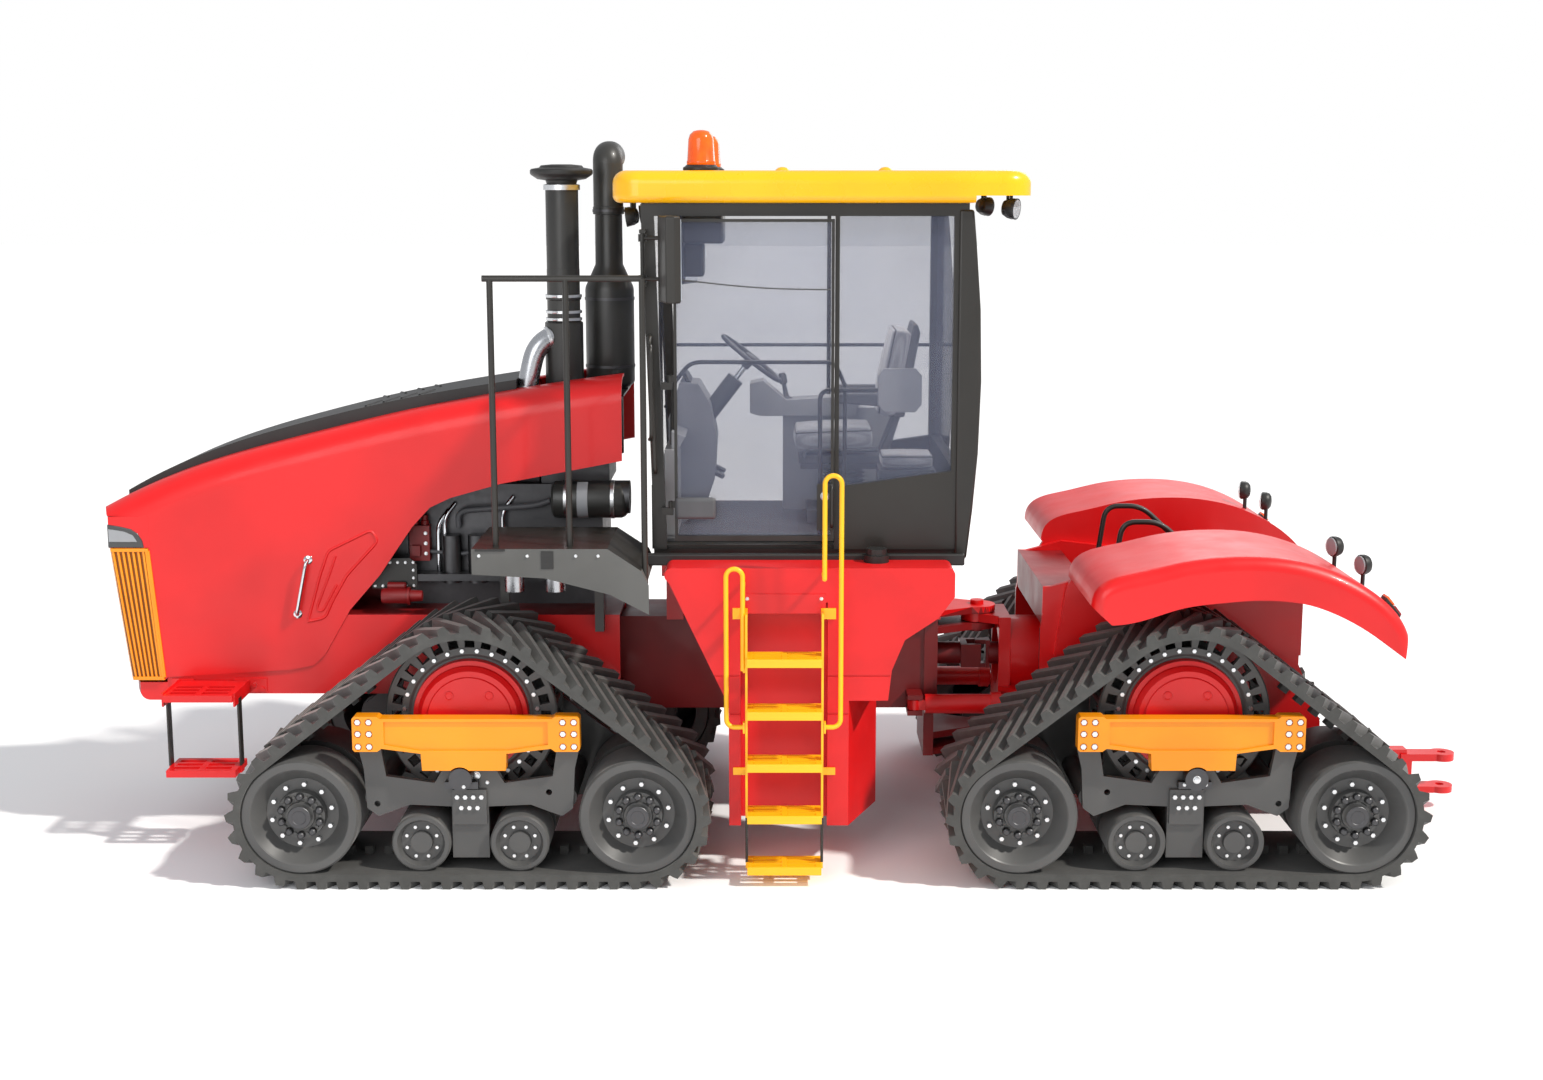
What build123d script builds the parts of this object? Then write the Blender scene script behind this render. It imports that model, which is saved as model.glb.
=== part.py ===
from build123d import *
import math
import os

# Articulated four-track tractor. Millimetres, +Z up, nose towards -X, driver's left side towards -Y.
# Origin: centre of the bounding box in plan, at ground level under the track lugs.

# ---------------------------------------------------------------- driving dimensions
front_axle_x = -1770.0  # front axle, from the machine's centre
rear_axle_x = 2125.0  # rear axle
axle_z = 917.0  # height of both axle lines
pivot_x = 1115.0  # vertical articulation pin
roll_z = 970.0  # height of the oscillation axis, on the drive shaft

track_outer_y = 1500.0  # outer edge of the track belts
belt_width = 762.0
belt_carcass = 37.0  # belt thickness under the lugs
lug_height = 44.15
lug_count = 56  # lug pairs round one belt
lug_base = 64.0  # width of a lug at its root
lug_crest = 34.0  # and at its crest
lug_lead = 2.0  # how far a lug's inner end leads its outer end, in lug pitches
lug_sink = 12.0  # depth of a lug's root in the carcass
lug_overrun = 12.0  # lugs are cut off flush with the belt's edge, from this far past it
wheel_gap = 0.85  # belt to wheel rims
idler_radius = 318.0
idler_spacing = 916.0  # from the axle line to each idler
idler_z = 400.0
roller_radius = 160.0
roller_spacing = 268.0
sprocket_radius = 470.0
guide_height = 45.0  # guide lugs inside the belt
guide_width = 60.0
guide_length = 46.0
guide_clear = 12.0  # guide lugs to the grooves they run in
groove_width = 90.0

running = 0.05  # radial clearance of a shaft in its bore
seat_gap = 0.3  # between a cover and what it sits on
idler_stub_radius = 45.0
roller_stub_radius = 35.0
spindle_radius = 100.0
housing_radius = 160.0
frame_plate_y = 693.0  # inboard face of the inner track frame plate
frame_plate = 40.0  # its thickness

hood_half = 550.0  # half width of the hood
hood_wall = 10.0
nose_bow = 120.0  # how far the nose bulges forward at its middle
grille_lean = 90.0  # how far the grille's foot is set back from its top
frame_half = 537.0  # half width of the front frame
frame_wall = 20.0

cab_half = 840.0  # half width of the cab at the pillars
cab_floor_z = 1760.0
cab_top_z = 3675.0
pillar = 60.0
glass = 6.0
roof_half = 900.0

tank_outer_y = 1200.0
tank_inner_y = 620.0
tank_top_z = 1720.0
tank_bottom_z = 265.0

rail_radius = 17.0  # black handrails
yellow_rail_radius = 13.0

os.makedirs("parts", exist_ok=True)

roller_z = idler_z - idler_radius + roller_radius
belt_mid_y = track_outer_y - belt_width / 2
groove_outer_y = belt_mid_y + groove_width / 2
groove_inner_y = belt_mid_y - groove_width / 2


# ---------------------------------------------------------------- small building helpers
def block(x0, x1, y0, y1, z0, z1, mode=Mode.ADD):
    """A rectangular block between two corners."""
    with Locations(((x0 + x1) / 2, (y0 + y1) / 2, (z0 + z1) / 2)):
        Box(x1 - x0, y1 - y0, z1 - z0, mode=mode)


def both_blocks(x0, x1, y0, y1, z0, z1, mode=Mode.ADD):
    """The same block on the right side and, mirrored, on the left side."""
    block(x0, x1, y0, y1, z0, z1, mode)
    block(x0, x1, -y1, -y0, z0, z1, mode)


def bar(start, end, radius, mode=Mode.ADD):
    """A round bar from one point to another."""
    run = Vector(*end) - Vector(*start)
    with BuildSketch(Plane(origin=start, z_dir=run)) as section:
        Circle(radius)
    extrude(section.sketch, amount=run.length, mode=mode)


def beam(start, end, width, depth, side, mode=Mode.ADD):
    """A rectangular bar from one point to another; side is the direction of its width."""
    run = Vector(*end) - Vector(*start)
    with BuildSketch(Plane(origin=start, x_dir=side, z_dir=run)) as section:
        Rectangle(width, depth)
    extrude(section.sketch, amount=run.length, mode=mode)


def tube(points, radius, bend):
    """A bent round tube through the points."""
    with BuildLine() as route:
        FilletPolyline(*points, radius=bend)
    with BuildSketch(Plane(origin=route.line @ 0, z_dir=route.line % 0)) as section:
        Circle(radius)
    sweep(section.sketch, path=route.line)


def side_plate(points, y0, y1, mode=Mode.ADD):
    """An outline in X and Z, extruded across from y0 to y1."""
    with BuildSketch(Plane.XZ.offset(-y1)) as outline:
        with BuildLine():
            Polyline(*points, close=True)
        make_face()
    extrude(outline.sketch, amount=y1 - y0, mode=mode)


def flat_plate(points, z0, z1, mode=Mode.ADD):
    """An outline in X and Y, extruded up from z0 to z1."""
    with BuildSketch(Plane.XY.offset(z0)) as outline:
        with BuildLine():
            Polyline(*points, close=True)
        make_face()
    extrude(outline.sketch, amount=z1 - z0, mode=mode)


def turned(points):
    """A solid of revolution about the Y axis, from an outline of radius and Y."""
    with BuildSketch(Plane.XY) as outline:
        with BuildLine():
            Polyline(*points, close=True)
        make_face()
    revolve(outline.sketch, axis=Axis.Y)


def across_bolts(centres, y, radius, length):
    """Bolt heads that stand out towards -Y at each X, Z centre."""
    with BuildSketch(Plane.XZ.offset(-y)) as heads:
        with Locations(*centres):
            RegularPolygon(radius, 6)
    extrude(heads.sketch, amount=length)


def ring_points(radius, count, start=0.0):
    """Points evenly round a circle about the Y axis."""
    angles = [math.radians(start + 360 * i / count) for i in range(count)]
    return [(radius * math.cos(a), radius * math.sin(a)) for a in angles]


def save(piece, name):
    """Label a finished piece and write its STEP file."""
    piece.label = name
    export_step(piece, f"parts/{name}.step")


# ================================================================ track units
# Each unit is drawn once, for the left front, about its own axle line at X = 0. The right units are
# its mirror image across the machine, and the rear units its mirror image end for end.
def belt_loop(grow):
    """The line round idlers and sprocket, grown outwards, as a face on the current sketch."""
    with Locations((-idler_spacing, idler_z), (idler_spacing, idler_z)):
        Circle(idler_radius + grow)
    with Locations((0, axle_z)):
        Circle(sprocket_radius + grow)
    make_hull()


def lug_bar(loop, i, side):
    """Lug i on one half of the belt, from its outer end near the edge to its inner end at the middle."""
    outer_end = loop @ ((i + 0.25 * side) / lug_count % 1)
    inner_end = loop @ ((i + 0.25 * side + lug_lead) / lug_count % 1)
    start = Vector(outer_end.X, -belt_mid_y + side * (belt_width / 2 + lug_overrun), outer_end.Z)
    end = Vector(inner_end.X, -belt_mid_y + side * 8, inner_end.Z)
    run = end - start
    loop_middle = Vector(0, outer_end.Y, idler_z + 250)
    out = (inner_end - outer_end).cross(Vector(0, 1, 0)).normalized()
    out = out if out.dot(outer_end - loop_middle) > 0 else out * -1
    with BuildSketch(Plane(origin=start, x_dir=out.cross(run), z_dir=run)) as section:
        with BuildLine():
            Polyline((-lug_base / 2, -lug_sink), (lug_base / 2, -lug_sink), (lug_crest / 2, lug_height),
                     (-lug_crest / 2, lug_height), close=True)
        make_face()
    return extrude(section.sketch, amount=run.length, mode=Mode.PRIVATE)


with BuildPart() as belt:
    with BuildSketch(Plane.XZ.offset(track_outer_y)) as outer_loop:
        belt_loop(wheel_gap + belt_carcass)
    extrude(amount=-belt_width)
    with BuildSketch(Plane.XZ.offset(track_outer_y)) as inner_loop:
        belt_loop(wheel_gap)
    extrude(amount=-belt_width, mode=Mode.SUBTRACT)

    # Chevron lugs: a slanted bar on each half, staggered by half a pitch.
    outside = outer_loop.sketch.faces()[0].outer_wire()
    add([lug_bar(outside, i, side) for i in range(lug_count) for side in (-1, 1)])
    block(-2000, 2000, -track_outer_y, -track_outer_y + belt_width, -0.05, 2000, Mode.INTERSECT)

    # Guide lugs inside the belt, left out round the sprocket, whose bars take their place.
    inside = inner_loop.sketch.faces()[0].outer_wire()
    for i in range(lug_count):
        foot = inside @ (i / lug_count)
        along = (inside % (i / lug_count)).normalized()
        inward = along.cross(Vector(0, 1, 0)).normalized()
        if inward.dot(foot - Vector(0, foot.Y, idler_z + 250)) > 0:
            inward = inward * -1
        if math.hypot(foot.X, foot.Z - axle_z) > sprocket_radius + 3 * guide_length:
            base = Vector(foot.X, -belt_mid_y, foot.Z) - inward * lug_sink
            with BuildSketch(Plane(origin=base, x_dir=along, z_dir=inward)):
                Rectangle(guide_length, guide_width)
    extrude(amount=guide_height + lug_sink)

# Idler: two rubber-tyred halves with a groove between them for the guide lugs, on the frame's stub.
idler_face_y = track_outer_y - 15
idler_back_y = track_outer_y - belt_width + 15
idler_bore = idler_stub_radius + running
idler_groove = idler_radius - guide_height - guide_clear
with BuildPart() as idler:
    turned(
        [
            (0, -idler_face_y + 30),
            (76, -idler_face_y + 30),
            (81, -idler_face_y + 45),
            (130, -idler_face_y + 45),
            (136, -idler_face_y + 94),
            (196, -idler_face_y + 94),
            (263, -idler_face_y + 6),
            (270, -idler_face_y),
            (308, -idler_face_y),
            (idler_radius, -idler_face_y + 10),
            (idler_radius, -groove_outer_y),
            (idler_groove, -groove_outer_y),
            (idler_groove, -groove_inner_y),
            (idler_radius, -groove_inner_y),
            (idler_radius, -idler_back_y - 10),
            (308, -idler_back_y),
            (232, -idler_back_y),
            (232, -idler_face_y + 190),
            (110, -idler_face_y + 190),
            (110, -idler_back_y),
            (idler_bore, -idler_back_y),
            (idler_bore, -idler_face_y + 235),
            (0, -idler_face_y + 235),
        ]
    )
    across_bolts(ring_points(166, 10, 12), -idler_face_y + 94, 13, 22)
    across_bolts(ring_points(106, 10), -idler_face_y + 45, 9, 10)
    with BuildSketch(Plane.XZ.offset(idler_face_y - 30)):
        Circle(9)
    extrude(amount=-6, mode=Mode.SUBTRACT)

# Roller: the same idea, smaller.
roller_face_y = track_outer_y - 60
roller_back_y = track_outer_y - belt_width + 55
roller_bore = roller_stub_radius + running
roller_groove = roller_radius - guide_height - guide_clear
with BuildPart() as roller:
    turned(
        [
            (0, -roller_face_y + 12),
            (58, -roller_face_y + 12),
            (62, -roller_face_y + 40),
            (112, -roller_face_y + 40),
            (130, -roller_face_y),
            (152, -roller_face_y),
            (roller_radius, -roller_face_y + 8),
            (roller_radius, -groove_outer_y),
            (roller_groove, -groove_outer_y),
            (roller_groove, -groove_inner_y),
            (roller_radius, -groove_inner_y),
            (roller_radius, -roller_back_y - 8),
            (152, -roller_back_y),
            (86, -roller_back_y),
            (86, -roller_face_y + 130),
            (60, -roller_face_y + 130),
            (60, -roller_back_y),
            (roller_bore, -roller_back_y),
            (roller_bore, -roller_face_y + 160),
            (0, -roller_face_y + 160),
        ]
    )
    across_bolts(ring_points(88, 8, 22.5), -roller_face_y + 40, 10, 12)

# Drive sprocket: two windowed rings joined by a drum and by the bars that drive the belt's guide lugs.
ring_y = 1279.0  # outer face of the outer ring
ring_width = 34.0
ring_pitch = 2 * (ring_y - ring_width / 2 - belt_mid_y)
sprocket_bars = 28
with BuildPart() as sprocket:
    turned(
        [
            (0, -ring_y + 10),
            (330, -ring_y + 10),
            (345, -ring_y),
            (462, -ring_y),
            (sprocket_radius, -ring_y + 6),
            (sprocket_radius, -ring_y + ring_width),
            (250, -ring_y + ring_width),
            (250, -ring_y + ring_pitch),
            (sprocket_radius, -ring_y + ring_pitch),
            (sprocket_radius, -ring_y + ring_pitch + ring_width),
            (150, -ring_y + ring_pitch + ring_width),
            (150, -frame_plate_y - frame_plate - 8),
            (spindle_radius + running, -frame_plate_y - frame_plate - 8),
            (spindle_radius + running, -ring_y + ring_pitch - 20),
            (230, -ring_y + ring_pitch - 20),
            (230, -ring_y + ring_width + 30),
            (0, -ring_y + ring_width + 30),
        ]
    )
    with BuildSketch(Plane.XZ.offset(ring_y + 1)):
        with PolarLocations(408, sprocket_bars):
            Rectangle(56, 54)
    extrude(amount=-(ring_pitch + ring_width + 2), mode=Mode.SUBTRACT)
    with BuildSketch(Plane.XZ.offset(ring_y - ring_width)):
        with PolarLocations(sprocket_radius - 18, sprocket_bars, start_angle=180 / sprocket_bars):
            Circle(13)
    extrude(amount=-(ring_pitch - ring_width))
    across_bolts(ring_points(364, sprocket_bars, 180 / sprocket_bars), -ring_y, 12, 14)
with BuildPart() as hub_cap:
    turned(
        [
            (0, -ring_y - 66),
            (262, -ring_y - 66),
            (284, -ring_y - 44),
            (288, -ring_y - 30),
            (312, -ring_y - 26),
            (318, -ring_y + 10),
            (0, -ring_y + 10),
        ]
    )

# Track frame: the inner plate rocks on the axle housing and carries the stubs of both idlers; arms on
# the middle beam carry the rollers; cross tubes join it to the outer plate and its trunnion.
outer_plate_y = 1405.0
outer_plate = 40.0
cross_x = 520.0
cross_z = 480.0
trunnion_x = -38.0
trunnion_z = 615.0
trunnion_radius = 62.0
middle_half = 85.0
with BuildPart() as track_frame:
    with BuildSketch(Plane.XZ.offset(frame_plate_y)):
        with Locations((-idler_spacing, idler_z), (idler_spacing, idler_z)):
            Circle(100)
        with Locations((0, axle_z)):
            Circle(235)
        make_hull()
        with Locations((0, axle_z)):
            Circle(housing_radius + running, mode=Mode.SUBTRACT)
        for side in (-1, 1):
            with Locations((side * 430, 520)):
                Circle(95, mode=Mode.SUBTRACT)
    extrude(amount=frame_plate)
    inner_face = -frame_plate_y - frame_plate
    for side in (-1, 1):
        stub_end = -idler_face_y + 245
        bar((side * idler_spacing, inner_face, idler_z), (side * idler_spacing, stub_end, idler_z), idler_stub_radius)
        bar((side * cross_x, inner_face, cross_z), (side * cross_x, -outer_plate_y + outer_plate, cross_z), 58)
        stub_end = -roller_face_y + 170
        bar((side * roller_spacing, inner_face, roller_z), (side * roller_spacing, stub_end, roller_z), roller_stub_radius)
    block(-middle_half, middle_half, -outer_plate_y + outer_plate, inner_face, 150, 428)
    roller_arm = [(-roller_spacing - 60, 200), (roller_spacing + 60, 200), (roller_spacing + 60, 290)]
    side_plate(roller_arm + [(-roller_spacing - 60, 290)], inner_face - 42, inner_face)
    side_plate(
        [
            (-600, 772),
            (-478, 772),
            (-452, 610),
            (-190, 572),
            (-150, 640),
            (150, 640),
            (190, 572),
            (452, 610),
            (478, 772),
            (600, 772),
            (572, 650),
            (560, 430),
            (500, 385),
            (420, 415),
            (330, 450),
            (100, 440),
            (100, 150),
            (-100, 150),
            (-100, 440),
            (-330, 450),
            (-420, 415),
            (-500, 385),
            (-560, 430),
            (-572, 650),
        ],
        -outer_plate_y,
        -outer_plate_y + outer_plate,
    )
    for side in (-1, 1):
        beam_pad = [(side * 600, 772), (side * 480, 772), (side * 480, 950), (side * 600, 950)]
        side_plate(beam_pad, -outer_plate_y, -outer_plate_y + 22)
    bar((trunnion_x, -outer_plate_y, trunnion_z), (trunnion_x, -track_outer_y + 12, trunnion_z), trunnion_radius)
    block(trunnion_x - 90, trunnion_x + 90, -outer_plate_y - 45, -outer_plate_y, 552, 590)
    block(-92, 92, -outer_plate_y - 20, -outer_plate_y, 345, 540)
    across_bolts([(x, 500) for x in (-66, -22, 22, 66)], -outer_plate_y - 20, 13, 12)
    across_bolts([(x, 440) for x in (-44, 0, 44)], -outer_plate_y - 20, 13, 12)
    with BuildSketch(Plane.XZ.offset(outer_plate_y + 1)):
        with Locations((-505, 455), (430, 520)):
            Circle(17)
    extrude(amount=-outer_plate - 2, mode=Mode.SUBTRACT)

# Carrier beam: the yellow casting that ties the outer plate together across the sprocket.
beam_face_y = track_outer_y - 4
beam_bolts = [(s * x, z) for s in (-1, 1) for x in (520, 580) for z in (800, 870, 935)]
with BuildPart() as carrier_beam:
    side_plate(
        [
            (-610, 955),
            (-598, 967),
            (-478, 967),
            (-462, 955),
            (462, 955),
            (478, 967),
            (598, 967),
            (610, 955),
            (610, 785),
            (598, 773),
            (478, 773),
            (455, 790),
            (215, 762),
            (210, 668),
            (-240, 668),
            (-245, 762),
            (-455, 790),
            (-478, 773),
            (-598, 773),
            (-610, 785),
        ],
        -beam_face_y,
        -outer_plate_y,
    )
    side_plate([(-440, 938), (440, 938), (440, 812), (225, 780), (-255, 780), (-440, 812)],
               -beam_face_y, -beam_face_y + 12, Mode.SUBTRACT)
    with BuildSketch(Plane.XZ.offset(beam_face_y + 1)):
        with Locations((trunnion_x, trunnion_z)):
            Circle(trunnion_radius + 10)
    extrude(amount=-(beam_face_y - outer_plate_y + 2), mode=Mode.SUBTRACT)
    with BuildSketch(Plane.XZ.offset(beam_face_y)):
        with Locations(*beam_bolts):
            Circle(20)
    extrude(amount=-14, mode=Mode.SUBTRACT)
    across_bolts(beam_bolts, -beam_face_y + 14, 16, 13)

sprocket_solids = [sprocket.part, hub_cap.part]
unit_pieces = {
    "track_belt": ([belt.part], 0, 0),
    "track_frame": ([track_frame.part], 0, 0),
    "carrier_beam": ([carrier_beam.part], 0, 0),
    "drive_sprocket": (sprocket_solids, 0, axle_z),
    "idler_front": ([idler.part], -idler_spacing, idler_z),
    "idler_rear": ([idler.part], idler_spacing, idler_z),
    "roller_front": ([roller.part], -roller_spacing, roller_z),
    "roller_rear": ([roller.part], roller_spacing, roller_z),
}
end_swap = {"idler_front": "idler_rear", "idler_rear": "idler_front"}
end_swap |= {"roller_front": "roller_rear", "roller_rear": "roller_front"}
for unit, axle_x, rear, right in (
    ("front_left", front_axle_x, False, False),
    ("front_right", front_axle_x, False, True),
    ("rear_left", rear_axle_x, True, False),
    ("rear_right", rear_axle_x, True, True),
):
    for name, (solids, x, z) in unit_pieces.items():
        placed = [solid.moved(Location((x, 0, z))) for solid in solids]
        if rear:
            placed = [mirror(solid, about=Plane.YZ) for solid in placed]
            name = end_swap.get(name, name)
        if right:
            placed = [mirror(solid, about=Plane.XZ) for solid in placed]
        placed = [solid.moved(Location((axle_x, 0, 0))) for solid in placed]
        save(Compound(children=placed) if len(placed) > 1 else placed[0], f"{name}_{unit}")

# ================================================================ front frame and articulation
frame_top_z = 1320.0
frame_bottom_z = 850.0
frame_front_x = -3650.0
frame_rear_x = -1010.0
backbone_half = 250.0  # half width of the box behind the engine
backbone_rear_x = 860.0
lip_top_z = 918.0
hood_hinge_x = -4026.0 + grille_lean
hood_hinge_z = 954.0
hood_pin_radius = 10.0
steer_anchor_x = 720.0  # steering cylinder's pin on the front frame
steer_y = 350.0
steer_z = 740.0
steer_pin_radius = 25.0
steer_rod_x = 1500.0  # steering cylinder's pin on the yoke
pivot_pin_radius = 40.0
upper_tongue_z = (1180.0, 1230.0)
lower_tongue_z = (440.0, 490.0)
ear = 40.0  # thickness of the front frame's ears
ear_gap = 5.0  # ears to the yoke's tongues
shaft_radius = 68.0  # drive shaft


def nose_outline(setback, half, rear_x):
    """Plan of the bowed nose: an arc across the front and straight sides back to rear_x."""
    side_front_x = -3940.0 + setback
    with BuildLine() as outline:
        ThreePointArc((side_front_x, -half), (side_front_x - nose_bow, 0), (side_front_x, half))
        Polyline((side_front_x, half), (rear_x, half), (rear_x, -half), (side_front_x, -half))
    make_face(outline.edges())


with BuildPart() as front_frame:
    # Engine carrier: a rectangular box with a middle web, open at both ends.
    block(frame_front_x, frame_rear_x, -frame_half, frame_half, frame_bottom_z, frame_top_z)
    for side in (-1, 1):
        y0, y1 = sorted((side * 10.0, side * (frame_half - frame_wall)))
        block(frame_front_x - 1, frame_rear_x + 1, y0, y1, frame_bottom_z + 20, frame_top_z - 20, Mode.SUBTRACT)
    # Nose base under the grille.
    with BuildSketch(Plane.XY.offset(812)):
        nose_outline(40 + grille_lean, frame_half, frame_front_x + 40)
    extrude(amount=lip_top_z - 812)
    fillet(front_frame.edges().filter_by(GeomType.CIRCLE).group_by(Axis.Z)[0], radius=50)
    for side in (-1, 1):
        y0, y1 = sorted((side * 60.0, side * 82.0))
        block(hood_hinge_x - 19, hood_hinge_x + 41, y0, y1, lip_top_z - 5, hood_hinge_z + 14)
    bar((hood_hinge_x, -82, hood_hinge_z), (hood_hinge_x, 82, hood_hinge_z), hood_pin_radius)
    # Backbone from the engine carrier back to the articulation.
    block(frame_rear_x - 40, backbone_rear_x, -backbone_half, backbone_half, 690, 1250)
    block(frame_rear_x - 1, backbone_rear_x - 120, -backbone_half + 25, backbone_half - 25, 715, 1225, Mode.SUBTRACT)
    # Deck under the cab and its four posts.
    block(-760, 880, -600, 600, 1560, 1640)
    for x in (-700, 820):
        both_blocks(x - 50, x + 50, 200, 300, 1240, 1560)
        both_blocks(x - 50, x + 50, 540, 600, 1640, 1680)
    both_blocks(-500, 500, backbone_half - 20, tank_inner_y, 1100, 1160)
    # Front axle housing and the spindles of both sprockets.
    bar((front_axle_x, -frame_plate_y - frame_plate + 5, axle_z),
        (front_axle_x, frame_plate_y + frame_plate - 5, axle_z), housing_radius)
    spindle_y = ring_y - ring_pitch + 30
    bar((front_axle_x, -spindle_y, axle_z), (front_axle_x, spindle_y, axle_z), spindle_radius)
    # Ears of the articulation, above and below each of the yoke's tongues.
    for z0, z1 in (upper_tongue_z, lower_tongue_z):
        for low in (z0 - ear_gap - ear, z1 + ear_gap):
            with BuildSketch(Plane.XY.offset(low)):
                with BuildLine():
                    Polyline(
                        (backbone_rear_x - 60, -260), (pivot_x - 40, -110), (pivot_x, -110),
                        (pivot_x, 110), (pivot_x - 40, 110), (backbone_rear_x - 60, 260), close=True)
                make_face()
                with Locations((pivot_x, 0)):
                    Circle(110)
            extrude(amount=ear)
        bar((pivot_x, 0, z0 - 70), (pivot_x, 0, z1 + 70), pivot_pin_radius)
    block(backbone_rear_x - 80, backbone_rear_x - 20, -260, 260, 395, 1275)
    # Pins of the steering cylinders, between two lugs each.
    for side in (-1, 1):
        for low in (steer_z - 62, steer_z + 34):
            y0, y1 = sorted((side * (backbone_half - 20), side * (steer_y + 45)))
            block(steer_anchor_x - 45, steer_anchor_x + 45, y0, y1, low, low + 28)
        bar((steer_anchor_x, side * steer_y, steer_z - 62), (steer_anchor_x, side * steer_y, steer_z + 62),
            steer_pin_radius)
    # Front half of the drive shaft, with its fork.
    bar((backbone_rear_x - 60, 0, roll_z), (pivot_x - 95, 0, roll_z), shaft_radius)
    block(pivot_x - 100, pivot_x + 20, -95, -60, roll_z - 70, roll_z + 70)
    block(pivot_x - 100, pivot_x + 20, 60, 95, roll_z - 70, roll_z + 70)
    block(pivot_x - 100, pivot_x - 60, -95, 95, roll_z - 70, roll_z + 70)
save(front_frame.part, "front_frame")

# Articulation yoke: turns on the vertical pins and carries the rear frame's oscillation bearing.
bearing_radius = 190.0
bearing_wall = 40.0
bearing_front_x = 1300.0
bearing_rear_x = 1560.0
yoke_pin_clear = 12.0  # the rod eye's free play on its pin, at the linkage's open pivot
with BuildPart() as articulation_yoke:
    with BuildSketch(Plane.YZ.offset(bearing_front_x)):
        with Locations((0, roll_z)):
            Circle(bearing_radius + bearing_wall)
    extrude(amount=bearing_rear_x - bearing_front_x)
    block(bearing_front_x - 70, bearing_front_x, -200, 200, lower_tongue_z[0], upper_tongue_z[1])
    for z0, z1 in (upper_tongue_z, lower_tongue_z):
        with BuildSketch(Plane.XY.offset(z0)):
            with BuildLine():
                Polyline((pivot_x, -95), (bearing_front_x, -200), (bearing_front_x, 200), (pivot_x, 95), close=True)
            make_face()
            with Locations((pivot_x, 0)):
                Circle(95)
        extrude(amount=z1 - z0)
        with BuildSketch(Plane.XY.offset(z0 - 1)):
            with Locations((pivot_x, 0)):
                Circle(pivot_pin_radius + running)
        extrude(amount=z1 - z0 + 2, mode=Mode.SUBTRACT)
    # Arms to the steering cylinders' rods.
    for side in (-1, 1):
        for low in (steer_z - 70, steer_z + 42):
            flat_plate([
                (bearing_front_x - 70, side * 120), (bearing_front_x - 70, side * 200),
                (steer_rod_x - 30, side * (steer_y + 55)), (steer_rod_x + 50, side * (steer_y + 55)),
                (steer_rod_x + 50, side * (steer_y - 60)), (bearing_front_x, side * 120)], low, low + 28)
        bar((steer_rod_x, side * steer_y, steer_z - 70), (steer_rod_x, side * steer_y, steer_z + 70), 24)
    bar((bearing_front_x - 80, 0, roll_z), (bearing_rear_x + 10, 0, roll_z), bearing_radius + running, Mode.SUBTRACT)
save(articulation_yoke.part, "articulation_yoke")

# Steering cylinders: barrels on the front frame, rods to the yoke.
barrel_radius = 58.0
rod_radius = 28.0
barrel_end_x = 1240.0
for side, word in ((-1, "left"), (1, "right")):
    with BuildPart() as steering_barrel:
        bar((steer_anchor_x + 60, side * steer_y, steer_z), (barrel_end_x, side * steer_y, steer_z), barrel_radius)
        bar((barrel_end_x - 70, side * steer_y, steer_z), (barrel_end_x - 10, side * steer_y, steer_z),
            barrel_radius + 12)
        block(steer_anchor_x, steer_anchor_x + 80, side * steer_y - 40, side * steer_y + 40, steer_z - 30, steer_z + 30)
        bar((steer_anchor_x, side * steer_y, steer_z - 30), (steer_anchor_x, side * steer_y, steer_z + 30), 45)
        bar((steer_anchor_x, side * steer_y, steer_z - 31), (steer_anchor_x, side * steer_y, steer_z + 31),
            steer_pin_radius + running, Mode.SUBTRACT)
        bar((steer_anchor_x + 110, side * steer_y, steer_z), (barrel_end_x + 1, side * steer_y, steer_z),
            rod_radius + running, Mode.SUBTRACT)
    save(steering_barrel.part, f"steering_barrel_{word}")
    with BuildPart() as steering_rod:
        bar((steer_anchor_x + 250, side * steer_y, steer_z), (steer_rod_x - 40, side * steer_y, steer_z), rod_radius)
        bar((steer_rod_x, side * steer_y, steer_z - 36), (steer_rod_x, side * steer_y, steer_z + 36), 52)
        bar((steer_rod_x, side * steer_y, steer_z - 37), (steer_rod_x, side * steer_y, steer_z + 37),
            24 + yoke_pin_clear, Mode.SUBTRACT)
    save(steering_rod.part, f"steering_rod_{word}")

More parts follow.
